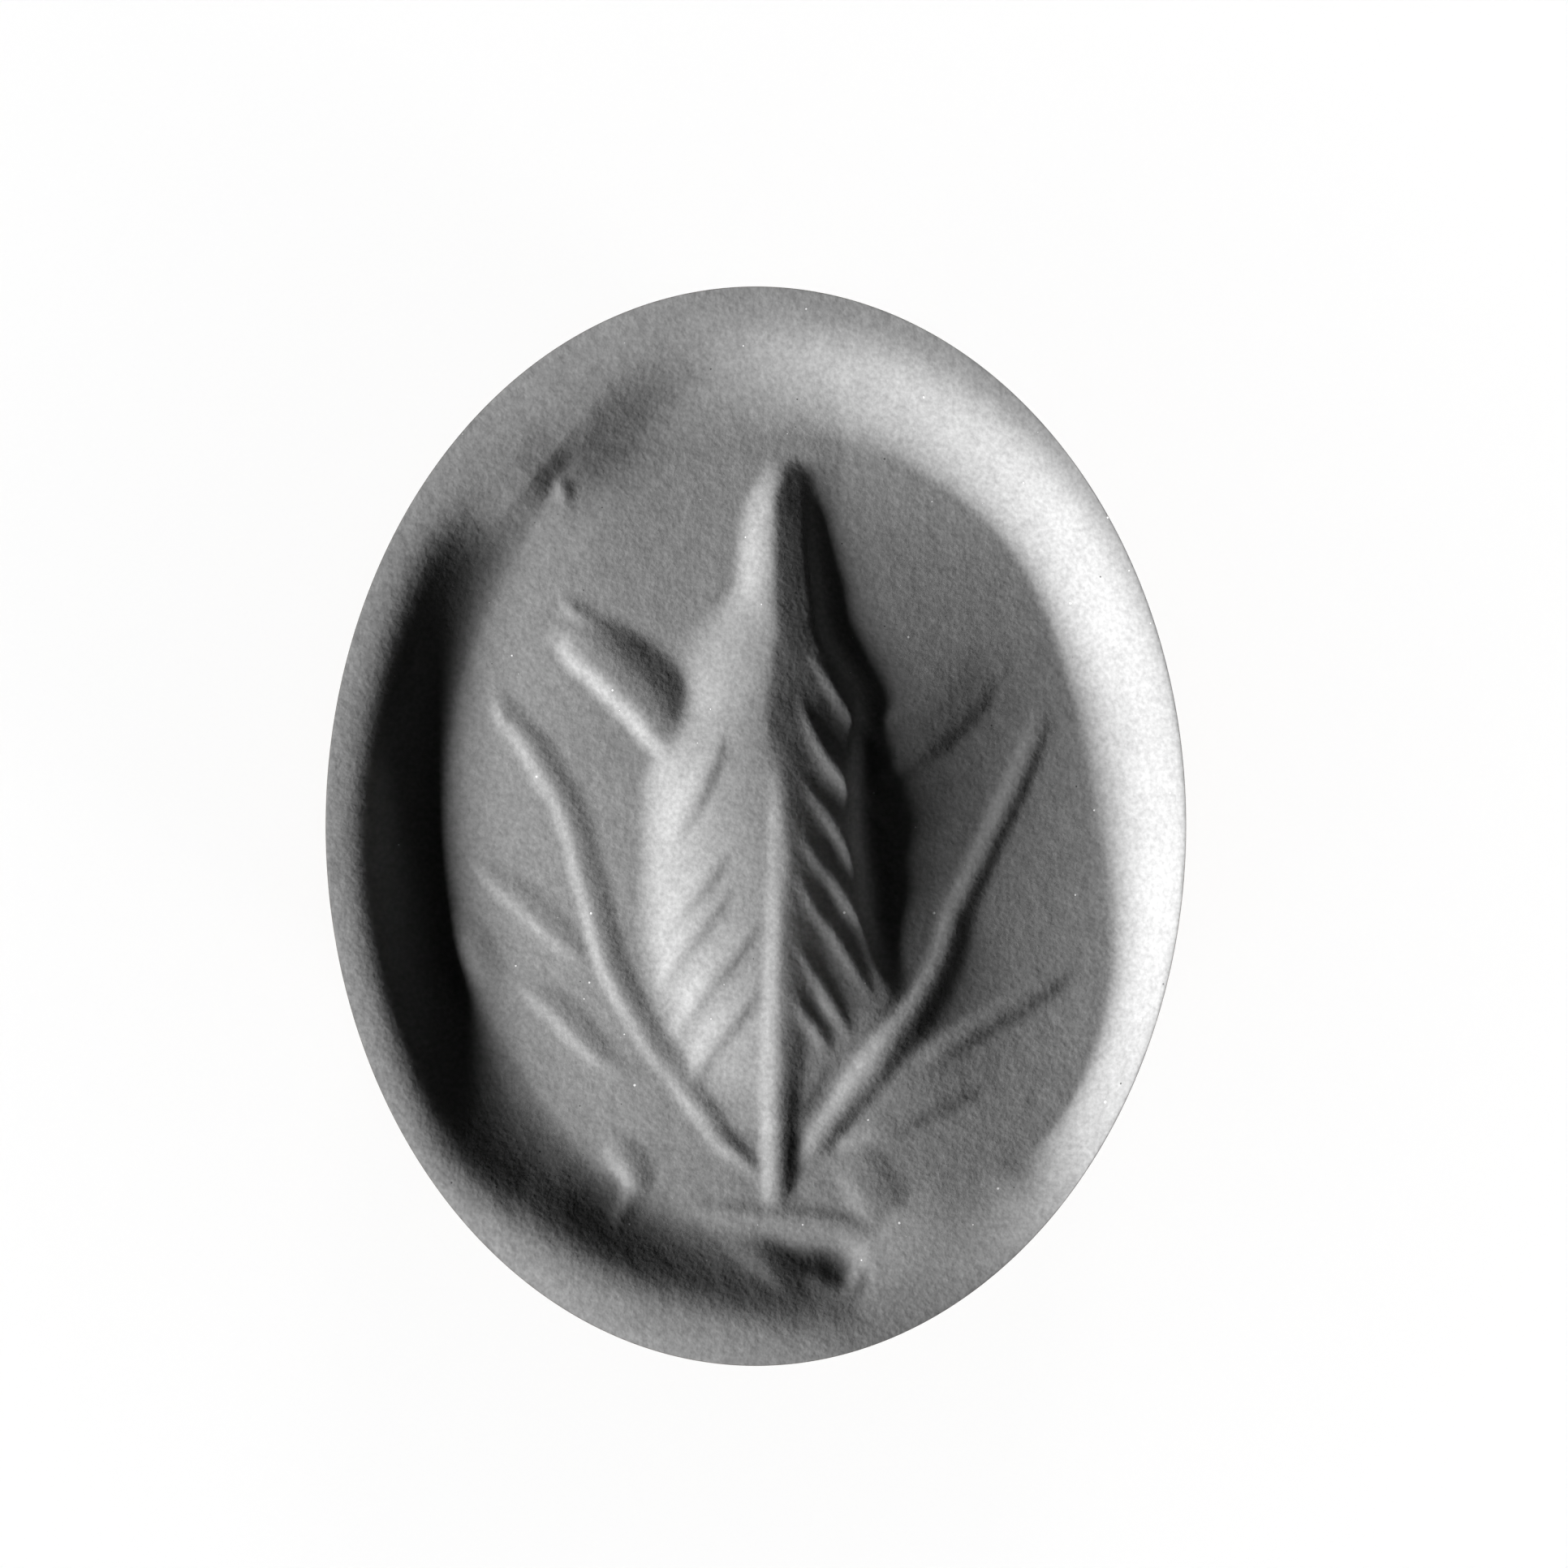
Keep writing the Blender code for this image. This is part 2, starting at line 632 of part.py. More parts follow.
def main():
    clear_scene()
    composition = principled("cast composition", (0.42, 0.42, 0.42), 0.55)
    cement = principled("setting cement", (0.10, 0.07, 0.05), 0.7)
    brass = principled("brass", (0.72, 0.50, 0.20), 0.28, 1.0)
    steel = principled("steel", (0.55, 0.55, 0.56), 0.3, 1.0)
    wood = principled("walnut", (0.16, 0.07, 0.035), 0.35)
    leather = principled("leather", (0.20, 0.10, 0.05), 0.8)

    seal_die(composition)
    setting_cement(cement)
    die_cup(brass)
    threaded_stud(steel)
    seat_washer(leather)
    threaded_insert(brass)
    ferrule(brass)
    handle(wood)
    for side, where in ((-1, "left"), (1, "right")):
        seat = (side * ferrule_radius, 0, pin_level)
        domed_pin(f"ferrule_pin_{where}", PIN_RADIUS, PIN_LENGTH, PIN_HEAD, seat, (side, 0, 0), brass)
    seat = (0, -HANDLE_WAIST_RADIUS, waist_level)
    domed_pin("front_mark", MARK_RADIUS, MARK_LENGTH, MARK_HEAD, seat, (0, -1, 0), brass)
    pommel_cap(brass)
    pommel_screw(steel)


main()
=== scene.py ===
"""Looks for a hand seal stamp that stands on its pommel, seen from straight above its cast oval face."""

import json
import math

import bpy
import numpy as np
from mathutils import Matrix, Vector

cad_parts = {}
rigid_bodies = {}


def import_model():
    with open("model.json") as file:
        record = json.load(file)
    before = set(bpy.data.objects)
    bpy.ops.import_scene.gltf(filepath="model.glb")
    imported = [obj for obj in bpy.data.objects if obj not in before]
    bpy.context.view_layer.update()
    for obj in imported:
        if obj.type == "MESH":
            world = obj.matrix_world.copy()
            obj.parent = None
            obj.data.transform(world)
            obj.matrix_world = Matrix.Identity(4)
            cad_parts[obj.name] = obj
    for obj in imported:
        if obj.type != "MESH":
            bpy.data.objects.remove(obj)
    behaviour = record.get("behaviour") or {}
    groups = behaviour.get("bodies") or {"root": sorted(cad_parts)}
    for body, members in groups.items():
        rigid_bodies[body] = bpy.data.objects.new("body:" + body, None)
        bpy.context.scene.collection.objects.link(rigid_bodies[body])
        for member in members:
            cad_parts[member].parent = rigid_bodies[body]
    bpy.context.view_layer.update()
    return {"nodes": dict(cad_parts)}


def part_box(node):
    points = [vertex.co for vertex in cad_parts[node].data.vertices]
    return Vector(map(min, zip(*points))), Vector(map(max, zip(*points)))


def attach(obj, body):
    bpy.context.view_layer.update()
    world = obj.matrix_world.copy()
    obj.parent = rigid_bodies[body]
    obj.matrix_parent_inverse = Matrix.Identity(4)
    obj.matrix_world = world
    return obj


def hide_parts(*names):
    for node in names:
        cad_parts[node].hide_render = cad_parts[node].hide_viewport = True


MM = 0.001

for stray in list(bpy.data.objects):
    bpy.data.objects.remove(stray)

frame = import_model()


def in_mm(corners):
    return [corner / MM for corner in corners]


# Places taken from the solids, in millimetres
DIE_LOW, DIE_HIGH = in_mm(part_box("seal_die"))
CUP_LOW, CUP_HIGH = in_mm(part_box("die_cup"))
STUD_LOW, STUD_HIGH = in_mm(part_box("threaded_stud"))
WASHER_LOW, WASHER_HIGH = in_mm(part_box("seat_washer"))
FERRULE_LOW, FERRULE_HIGH = in_mm(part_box("ferrule"))
HANDLE_LOW, HANDLE_HIGH = in_mm(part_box("handle"))
CAP_HIGH = in_mm(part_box("pommel_cap"))[1]
SCREW_LOW, SCREW_HIGH = in_mm(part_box("pommel_screw"))
PIN_LOW, PIN_HIGH = in_mm(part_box("ferrule_pin_right"))
MARK_LOW, MARK_HIGH = in_mm(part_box("front_mark"))
FACE = DIE_HIGH.z
SEMI_X = DIE_HIGH.x
SEMI_Y = DIE_HIGH.y
PIN_LEVEL = (PIN_LOW.z + PIN_HIGH.z) / 2
MARK_LEVEL = (MARK_LOW.z + MARK_HIGH.z) / 2
MARK_RADIUS = (MARK_HIGH.z - MARK_LOW.z) / 2


# Modelling helpers
def deselect():
    if bpy.context.object and bpy.context.object.mode != "OBJECT":
        bpy.ops.object.mode_set(mode="OBJECT")
    bpy.ops.object.select_all(action="DESELECT")


def work_on(piece):
    deselect()
    piece.select_set(True)
    bpy.context.view_layer.objects.active = piece


def edit(piece):
    work_on(piece)
    bpy.ops.object.mode_set(mode="EDIT")
    bpy.ops.mesh.select_all(action="SELECT")


def select_open_edges():
    """In edit mode: selects the edges at which a surface ends."""
    bpy.ops.mesh.select_mode(type="EDGE")
    bpy.ops.mesh.select_all(action="DESELECT")
    bpy.ops.mesh.select_non_manifold()


def leave():
    """Ends edit mode, and goes back to selecting points if edges were selected."""
    bpy.ops.mesh.select_mode(type="VERT")
    bpy.ops.object.mode_set(mode="OBJECT")


# Points that are nearer than this, in millimetres, are doubles
DOUBLES = 0.0005


def settle(piece, angle=30):
    """Fixes the piece's place, merges doubles, faces it outwards and shades it smooth to an angle."""
    work_on(piece)
    bpy.ops.object.transform_apply(location=True, rotation=True, scale=True)
    edit(piece)
    bpy.ops.mesh.remove_doubles(threshold=DOUBLES * MM)
    bpy.ops.mesh.normals_make_consistent(inside=False)
    leave()
    bpy.ops.object.shade_smooth_by_angle(angle=math.radians(angle))
    return piece


def draw_out(rings, draw=bpy.ops.mesh.extrude_region_move):
    """In edit mode: draws the selection on from ring to ring. A ring is (semi x, semi y, level) in mm."""
    before = rings[0]
    for ring in rings[1:]:
        rise = (0, 0, (ring[2] - before[2]) * MM)
        draw(TRANSFORM_OT_translate={"value": rise})
        grow = (ring[0] / before[0], ring[1] / before[1], 1)
        bpy.ops.transform.resize(value=grow, center_override=(0, 0, ring[2] * MM))
        before = ring


def turned(name, rings, sides, pierced=False, angle=30):
    """A turned or oval piece, drawn out from its first ring. A pierced one is a shell closed end to end."""
    deselect()
    semi_x, semi_y, level = rings[0]
    bpy.ops.mesh.primitive_circle_add(
        vertices=sides,
        radius=semi_x * MM,
        fill_type="NOTHING" if pierced else "NGON",
        location=(0, 0, level * MM),
    )
    piece = bpy.context.object
    piece.name = name
    edit(piece)
    bpy.ops.transform.resize(value=(1, semi_y / semi_x, 1), center_override=(0, 0, level * MM))
    draw_out(rings)
    if pierced:
        select_open_edges()
        bpy.ops.mesh.bridge_edge_loops()
    leave()
    return settle(piece, angle)


def circle(radius, level):
    return (radius, radius, level)


def oval(inset, level):
    """The die's outline, drawn in by inset."""
    return (SEMI_X - inset, SEMI_Y - inset, level)


def corner(centre, level, size, start, end, steps):
    """Circles round a turned corner of radius size, from one angle to another in degrees."""
    rings = []
    for step in range(steps + 1):
        turn = math.radians(start + (end - start) * step / steps)
        rings.append(circle(centre + size * math.cos(turn), level + size * math.sin(turn)))
    return rings


def take_out(piece, cutter):
    """Cuts the cutter's shape out of the piece and removes the cutter."""
    modifier = piece.modifiers.new("Cut", "BOOLEAN")
    modifier.operation = "DIFFERENCE"
    modifier.solver = "EXACT"
    modifier.object = cutter
    work_on(piece)
    bpy.ops.object.modifier_apply(modifier=modifier.name)
    bpy.data.objects.remove(cutter)


def lay_along(piece, way, seat):
    """Turns a piece that was made along +Z to point that way and moves it to its seat, in mm."""
    piece.rotation_euler = Vector(way).to_track_quat("Z", "Y").to_euler()
    piece.location = Vector(seat) * MM
    work_on(piece)
    bpy.ops.object.transform_apply(location=True, rotation=True, scale=True)


# The face in relief: x, y and all sizes in millimetres from the middle of the face, heights from the rim
CURVE_STEPS = 8


def through(stations):
    """Points on a smooth curve through stations, which are rows of numbers."""
    rows = np.array(stations, float)
    padded = np.vstack([2 * rows[0] - rows[1], rows, 2 * rows[-1] - rows[-2]])
    points = []
    for a, b, c, d in zip(padded, padded[1:], padded[2:], padded[3:]):
        for step in range(CURVE_STEPS):
            t = step / CURVE_STEPS
            square = (2 * a - 5 * b + 4 * c - d) * t**2
            cube = (3 * b - a - 3 * c + d) * t**3
            points.append(0.5 * (2 * b + (c - a) * t + square + cube))
    points.append(rows[-1])
    return np.array(points)


def fillet_max(first, second, blend):
    """The higher of two heights, with a fillet of about blend where they meet."""
    share = np.clip(0.5 + 0.5 * (first - second) / blend, 0, 1)
    return second + (first - second) * share + blend * share * (1 - share)


# The wall: angle in degrees, width of the rim, width of the wall, how quickly the wall turns level inwards,
# fall of the rim's outer edge, level of the rim
WALL = [
    (0, -0.05, 2.12, 1.8, 0, 0),
    (20, 0.2, 2.1, 1.5, 0, 0),
    (40, 0.55, 1.8, 1.6, 0, 0),
    (60, 0.9, 1.95, 1.6, 0, 0),
    (80, 1.1, 2.2, 1.7, 0, 0),
    (100, 1.1, 2.4, 2, 0, 0),
    (120, 1.25, 1.1, 1.3, 0, 0),
    (130, 1, 1.6, 1.4, 0, 0),
    (140, 0.9, 1.9, 1.6, 0, 0),
    (160, 1.06, 1.7, 1.6, 0, 0),
    (180, 1.04, 1.6, 1.5, 0, 0),
    (200, 1.16, 1.42, 1.7, 0.02, 0),
    (210, 0.95, 2, 1.6, 0.02, 0),
    (220, 0.76, 2.45, 1.6, 0.03, 0),
    (230, 1, 2.2, 1.6, 0.05, 0),
    (240, 1.35, 1.8, 1.5, 0.06, 0),
    (260, 1.42, 1.85, 1.9, 0.02, 0),
    (270, 1.15, 1.8, 1.5, 0, 0),
    (280, 0.8, 1.7, 1.4, 0, -0.06),
    (285, 0.6, 1.8, 1.4, 0, -0.14),
    (290, 0.48, 2, 1.3, 0, -0.24),
    (300, 0.3, 2.4, 1.3, 0, -0.43),
    (310, 0.15, 1.9, 1.4, 0, -0.5),
    (320, 0, 1.2, 1.5, 0, -0.38),
    (340, -0.05, 1.35, 1.9, 0, -0.12),
]
LIP_SOFTNESS = 0.28
EDGE_FALL_WIDTH = 0.9
# Keeps a division from failing where a length is nothing
TINY = 1e-6


def step_up(along, place, width):
    """Rises softly from 0 to 1 at a place."""
    return 1 / (1 + np.exp(-(along - place) / width))


# The field: its level at the middle, its fall to the right, its bow, and its upturn at the far right
FIELD_LEVEL = -0.80
FIELD_FALL = 0.056
FIELD_BOW = 0.010
FIELD_UPTURN = 0.0016
UPTURN_START = 3
# How much it rises low on the right, falls at the top, lifts at the top right, and slumps low down
FOOT_RISE = 0.008
FOOT_RISE_START = -4
HEAD_FALL = 0.026
CORNER_LIFT = 0.07
CORNER_START = 2
SLUMP_DEPTH = 0.12
# A ridge under the ear's right side: place, width, height at the top, and how much it swells lower down
RIDGE_PLACE = 2.9
RIDGE_WIDTH = 1.7
RIDGE_HEIGHT = 0.15
RIDGE_SWELL = 0.11
# A bank across the upper left: the way it faces, how far out it starts, its slope, softness and height
BANK_WAY = (-0.77, 0.64)
BANK_START = 7.75
BANK_SLOPE = 0.32
BANK_SOFTNESS = 0.25
BANK_HEIGHT = 0.45


def field(x, y):
    """Level of the sunken field. Each step_up call says where one of its forms begins and how softly."""
    level = FIELD_LEVEL - FIELD_FALL * x - FIELD_BOW * x**2
    level = level + FIELD_UPTURN * np.maximum(x - UPTURN_START, 0) ** 3
    low = np.maximum(FOOT_RISE_START - y, 0) ** 2 * step_up(x, 3.0, 0.7)
    high = np.logaddexp(0, y) * step_up(x, -3.0, 0.8)
    tall = RIDGE_HEIGHT + RIDGE_SWELL * step_up(-y, 3.0, 0.5)
    ridge = tall * np.exp(-(((x - RIDGE_PLACE) / RIDGE_WIDTH) ** 2))
    ridge = ridge * step_up(y, -5.8, 0.4) * step_up(-y, -3.0, 0.5)
    lifted = np.maximum(x - CORNER_START, 0) * step_up(y, 7.3, 0.6)
    slump = step_up(x, 3.0, 0.7) * step_up(-y, 7.6, 0.9)
    outward = (BANK_WAY[0] * x + BANK_WAY[1] * y - BANK_START) / BANK_SOFTNESS
    bank = np.minimum(BANK_SLOPE * BANK_SOFTNESS * np.logaddexp(0, outward), BANK_HEIGHT)
    bank = bank * step_up(y, 7.2, 0.35)
    level = level + FOOT_RISE * low - HEAD_FALL * high + ridge + CORNER_LIFT * lifted
    return level - SLUMP_DEPTH * slump + bank


def bowl(x, y):
    """Rim, wall and field without the plant."""
    reach = np.sqrt((x / SEMI_X) ** 2 + (y / SEMI_Y) ** 2)
    steepness = np.sqrt((x / SEMI_X**2) ** 2 + (y / SEMI_Y**2) ** 2) / np.maximum(reach, TINY)
    inward = (1 - reach) / np.maximum(steepness, TINY)
    angle = np.degrees(np.arctan2(y / SEMI_Y, x / SEMI_X)) % 360
    before = [(place - 360, *values) for place, *values in WALL[-2:]]
    after = [(place + 360, *values) for place, *values in WALL[:3]]
    table = through([*before, *WALL, *after])
    columns = [np.interp(angle, table[:, 0], table[:, column]) for column in range(1, 6)]
    rim, width, turn, fall, level = columns
    eased = LIP_SOFTNESS * np.logaddexp(0, (inward - rim) / LIP_SOFTNESS)
    share = np.clip(eased / width, 0, 1)
    drop = 1 - (1 - share) ** turn
    edge = fall * np.clip(1 - inward / EDGE_FALL_WIDTH, 0, 1) ** 2
    return level + (field(x, y) - level) * drop - edge


# The ear: y, left edge, crest, right edge, level of the crest, level of the right edge, roundness on the left
EAR = [
    (8.55, 0.66, 0.8, 0.92, -1.2, -1.22, 2),
    (8.15, 0.3, 0.66, 0.97, -0.93, -1.02, 2),
    (7.7, -0.06, 0.46, 1.04, -0.8, -0.96, 1.7),
    (7, -0.22, 0.42, 1.1, -0.71, -0.88, 1.7),
    (6, -0.32, 0.42, 1.16, -0.62, -0.8, 1.8),
    (5.3, -0.55, 0.42, 1.26, -0.56, -0.76, 1.8),
    (4.5, -1.28, 0.46, 1.36, -0.51, -0.73, 1.6),
    (4, -1.42, 0.38, 1.62, -0.46, -0.74, 1.6),
    (3, -1.6, 0.24, 2.2, -0.34, -0.78, 1.8),
    (2.2, -1.95, 0.27, 2.18, -0.2, -0.6, 2.2),
    (1.5, -2.35, 0.36, 2.15, -0.1, -0.46, 2.6),
    (0.8, -2.45, 0.44, 2.12, -0.06, -0.43, 2.7),
    (-0.2, -2.48, 0.46, 2.16, -0.04, -0.42, 2.7),
    (-1.5, -2.5, 0.48, 2.32, -0.05, -0.47, 2.6),
    (-2.3, -2.5, 0.5, 2.45, -0.08, -0.55, 2.5),
    (-3, -2.42, 0.52, 2.7, -0.12, -0.64, 2.4),
    (-4, -2.15, 0.52, 3, -0.2, -0.76, 2.2),
    (-5, -1.75, 0.5, 2.2, -0.36, -0.72, 2),
    (-6, -1.2, 0.5, 1.3, -0.6, -0.76, 2),
    (-6.8, -0.6, 0.45, 0.95, -0.78, -0.86, 2),
    (-7.2, -0.3, 0.42, 0.8, -1.05, -1.05, 2),
]
# Width of the cliff at its right, and how far below the field that cliff ends
EAR_CLIFF = 0.60
EAR_SINK = 0.12
# How the right side bends, how little the left may rise, and how far the left runs on, in shares of its width
EAR_BEND = 1.15
EAR_LEAST_RISE = 0.02
EAR_RUN_ON = 1.5
# The ear's level where there is no ear
FAR_BELOW = -9


def ear(x, y):
    """Level of the ear: it swells up from its left edge, leans down to the right and ends there in a small
    cliff. At both edges it runs on below the field, so that the two can meet in a fillet."""
    table = through(EAR)[::-1]
    columns = [np.interp(y, table[:, 0], table[:, column]) for column in range(1, 7)]
    left, crest, right, level, edge, roundness = columns
    inside = (y < EAR[0][0]) & (y > EAR[-1][0]) & (x < right + EAR_CLIFF)
    ground = field(left, y)
    up = np.clip((crest - x) / (crest - left), 0, EAR_RUN_ON)
    down = np.maximum((x - crest) / (right - crest), 0)
    past = np.clip((x - right) / EAR_CLIFF, 0, 1)
    left_side = level - np.maximum(level - ground, EAR_LEAST_RISE) * up**roundness
    right_side = level - (level - edge) * down**EAR_BEND
    right_side += (field(x, y) - EAR_SINK - right_side) * past * past * (3 - 2 * past)
    return np.where(inside & (up < EAR_RUN_ON), np.where(x < crest, left_side, right_side), FAR_BELOW)


# How flat the tops and how soft the feet of strokes are: as a rule, for the left leaf and for the right leaf
ROUNDING = (2.0, 1.5)
LEFT_LEAF_ROUNDING = (2.2, 1.3)
RIGHT_LEAF_ROUNDING = (2.0, 1.3)
THINNEST_FLANK = 0.01


def stroke(x, y, stations, rounding=ROUNDING):
    """Height of a raised stroke. A station is x, y, width of the left flank, width of the right flank and
    height; left and right as seen when the stroke runs down the picture."""
    line = through(stations)
    margin = line[:, 2:4].max()
    low = line[:, :2].min(axis=0) - margin
    high = line[:, :2].max(axis=0) + margin
    near = (x > low[0]) & (x < high[0]) & (y > low[1]) & (y < high[1])
    here_x, here_y = x[near], y[near]
    best = np.full(here_x.shape, np.inf)
    height = np.zeros(here_x.shape)
    for start, end in zip(line, line[1:]):
        along = end[:2] - start[:2]
        square = max(float(along @ along), TINY**2)
        t = np.clip(((here_x - start[0]) * along[0] + (here_y - start[1]) * along[1]) / square, 0, 1)
        off_x = here_x - start[0] - t * along[0]
        off_y = here_y - start[1] - t * along[1]
        left, right, tall = (start[column] + (end[column] - start[column]) * t for column in (2, 3, 4))
        width = np.where(along[0] * off_y < along[1] * off_x, left, right)
        share = np.hypot(off_x, off_y) / np.maximum(width, THINNEST_FLANK)
        closer = share < best
        best = np.where(closer, share, best)
        height = np.where(closer, tall, height)
    result = np.zeros(x.shape)
    top, foot = rounding
    result[near] = height * (1 - np.clip(best, 0, 1) ** top) ** foot
    return result


# The plant in strokes
CENTRAL_STEM = [
    (0.64, 1.6, 0.16, 0.3, 0.01),
    (0.66, 1, 0.36, 0.7, 0.045),
    (0.7, 0, 0.42, 0.95, 0.075),
    (0.7, -1, 0.44, 1, 0.085),
    (0.66, -2, 0.44, 1, 0.085),
    (0.6, -3, 0.44, 0.95, 0.085),
    (0.56, -4, 0.44, 0.85, 0.085),
    (0.52, -5, 0.44, 0.7, 0.08),
    (0.5, -6, 0.42, 0.58, 0.075),
    (0.5, -7, 0.42, 0.52, 0.115),
    (0.5, -8, 0.42, 0.5, 0.12),
    (0.46, -8.5, 0.34, 0.36, 0.08),
    (0.4, -8.85, 0.18, 0.2, 0.01),
]
LEFT_STEM = [
    (-6.1, 3.3, 0.15, 0.18, 0.005),
    (-5.85, 2.6, 0.25, 0.4, 0.05),
    (-5.35, 1.9, 0.25, 0.55, 0.075),
    (-5, 1.3, 0.25, 0.6, 0.08),
    (-4.6, 0.6, 0.25, 0.6, 0.075),
    (-4.3, -0.2, 0.25, 0.6, 0.07),
    (-4.1, -1, 0.25, 0.6, 0.07),
    (-3.9, -1.7, 0.25, 0.6, 0.07),
    (-3.7, -2.5, 0.25, 0.6, 0.075),
    (-3.5, -3.2, 0.25, 0.6, 0.075),
    (-3.1, -4, 0.25, 0.55, 0.07),
    (-2.55, -4.95, 0.25, 0.55, 0.055),
    (-1.85, -5.9, 0.25, 0.5, 0.06),
    (-1.35, -6.6, 0.25, 0.5, 0.07),
    (-0.8, -7.3, 0.25, 0.4, 0.065),
    (-0.3, -7.75, 0.2, 0.3, 0.05),
    (0.1, -8.1, 0.15, 0.18, 0.02),
]
RIGHT_STEM = [
    (6.75, 2.65, 0.18, 0.18, 0.005),
    (6.55, 2.15, 0.35, 0.25, 0.035),
    (6.2, 1.25, 0.4, 0.3, 0.06),
    (5.8, 0.35, 0.4, 0.3, 0.065),
    (5.4, -0.5, 0.4, 0.3, 0.065),
    (5, -1.35, 0.4, 0.35, 0.07),
    (4.65, -2.05, 0.4, 0.4, 0.075),
    (4.4, -2.9, 0.4, 0.5, 0.08),
    (4.05, -3.7, 0.4, 0.5, 0.085),
    (3.6, -4.45, 0.4, 0.55, 0.09),
    (3.05, -5.15, 0.45, 0.5, 0.11),
    (2.5, -5.9, 0.45, 0.5, 0.11),
    (1.95, -6.65, 0.4, 0.4, 0.1),
    (1.5, -7.25, 0.35, 0.35, 0.08),
    (1.1, -7.75, 0.25, 0.2, 0.01),
]
LEFT_LEAF = [
    (-4.55, 4.2, 0.15, 0.25, 0.01),
    (-4.3, 4.1, 0.3, 0.65, 0.11),
    (-3.95, 3.85, 0.4, 1.05, 0.175),
    (-3.55, 3.55, 0.43, 1.25, 0.2),
    (-3.1, 3.1, 0.44, 1.3, 0.205),
    (-2.65, 2.65, 0.44, 1.3, 0.205),
    (-2.3, 2.2, 0.44, 1.15, 0.195),
    (-1.95, 1.85, 0.42, 1, 0.15),
    (-1.7, 1.45, 0.3, 0.5, 0.03),
]
LEAF_TIP = [
    (-4.45, 5.25, 0.12, 0.12, 0.01),
    (-4.25, 5.05, 0.2, 0.16, 0.06),
    (-3.85, 4.82, 0.16, 0.16, 0.03),
    (-3.4, 4.55, 0.1, 0.1, 0),
]
RIGHT_LEAF = [
    (5.55, 3.6, 0.4, 0.2, 0.01),
    (5.15, 3, 1.2, 0.35, 0.05),
    (4.65, 2.45, 1.7, 0.4, 0.09),
    (4, 1.9, 1.8, 0.4, 0.12),
    (3.4, 1.55, 1.6, 0.4, 0.13),
    (2.9, 1.3, 1.2, 0.4, 0.12),
    (2.55, 1.1, 0.8, 0.3, 0.05),
]
LEAFLETS = [
    [
        (-6.5, -0.85, 0.1, 0.2, 0.01),
        (-6.05, -1.35, 0.2, 0.5, 0.045),
        (-5.4, -1.92, 0.22, 0.6, 0.052),
        (-4.85, -2.45, 0.22, 0.6, 0.052),
        (-4.4, -2.85, 0.18, 0.45, 0.04),
        (-4, -3.15, 0.12, 0.3, 0.01),
    ],
    [
        (-5.4, -3.8, 0.1, 0.2, 0.02),
        (-4.98, -4.12, 0.22, 0.5, 0.05),
        (-4.56, -4.48, 0.24, 0.62, 0.06),
        (-4.16, -4.9, 0.24, 0.62, 0.058),
        (-3.75, -5.32, 0.2, 0.5, 0.05),
        (-3.3, -5.6, 0.18, 0.4, 0.03),
        (-2.95, -5.75, 0.12, 0.3, 0.01),
    ],
    [
        (7.28, -3.42, 0.15, 0.15, 0.01),
        (6.58, -3.9, 0.35, 0.28, 0.07),
        (5.68, -4.4, 0.42, 0.32, 0.11),
        (4.98, -4.8, 0.42, 0.32, 0.11),
        (4.28, -5.2, 0.35, 0.28, 0.07),
        (3.85, -5.4, 0.2, 0.2, 0.02),
    ],
    [
        (5.15, -6.15, 0.15, 0.15, 0.01),
        (4.25, -6.55, 0.32, 0.26, 0.08),
        (3.35, -6.95, 0.36, 0.26, 0.12),
        (2.65, -7.2, 0.36, 0.26, 0.11),
        (2.1, -7.4, 0.2, 0.2, 0.03),
    ],
]
# Barbs of the ear: crest points from the inner to the outer end
LEFT_BARBS = [
    [(-0.78, 1.95), (-1.1, 1.2), (-1.45, 0.5), (-1.85, -0.2)],
    [(-0.75, -0.8), (-1.15, -1.3), (-1.65, -1.95), (-2.15, -2.55)],
    [(-0.65, -1.6), (-1.05, -2.05), (-1.5, -2.6), (-2.1, -3.6)],
    [(0, -2.4), (-0.6, -3.1), (-1.1, -3.7), (-1.75, -4.7)],
    [(0, -3.9), (-0.5, -4.5), (-1, -5.1), (-1.35, -5.75)],
]
RIGHT_BARBS = [
    [(1.35, 3.95), (1.9, 3.1), (2.4, 2.4), (2.9, 1.7)],
    [(1.05, 2.9), (1.45, 2.05), (2, 1.2), (3, -0.1)],
    [(1.1, 1.1), (1.55, 0.5), (2, -0.2), (2.75, -1.6)],
    [(1.1, -0.2), (1.45, -0.7), (2, -1.5), (2.75, -2.6)],
    [(1.05, -1.2), (1.45, -1.9), (2.05, -2.8), (2.6, -3.8)],
    [(1.02, -2.8), (1.42, -3.45), (1.78, -4.1), (2.15, -4.75)],
    [(0.92, -3.9), (1.22, -4.4), (1.45, -4.75), (1.68, -5.15)],
]
# Width of the left flank, width of the right flank, height
LEFT_BARB = (0.50, 0.26, 0.085)
RIGHT_BARB = (0.30, 0.22, 0.055)
# How full a barb is at its four points
BARB_SHARES = (0.35, 0.9, 1.0, 0.5)


def barb(x, y, points, size):
    """Height of one barb: a stroke that swells and thins again."""
    left, right, height = size
    stations = []
    for (here_x, here_y), share in zip(points, BARB_SHARES):
        stations.append((here_x, here_y, left * share, right * share, height * share))
    return stroke(x, y, stations)


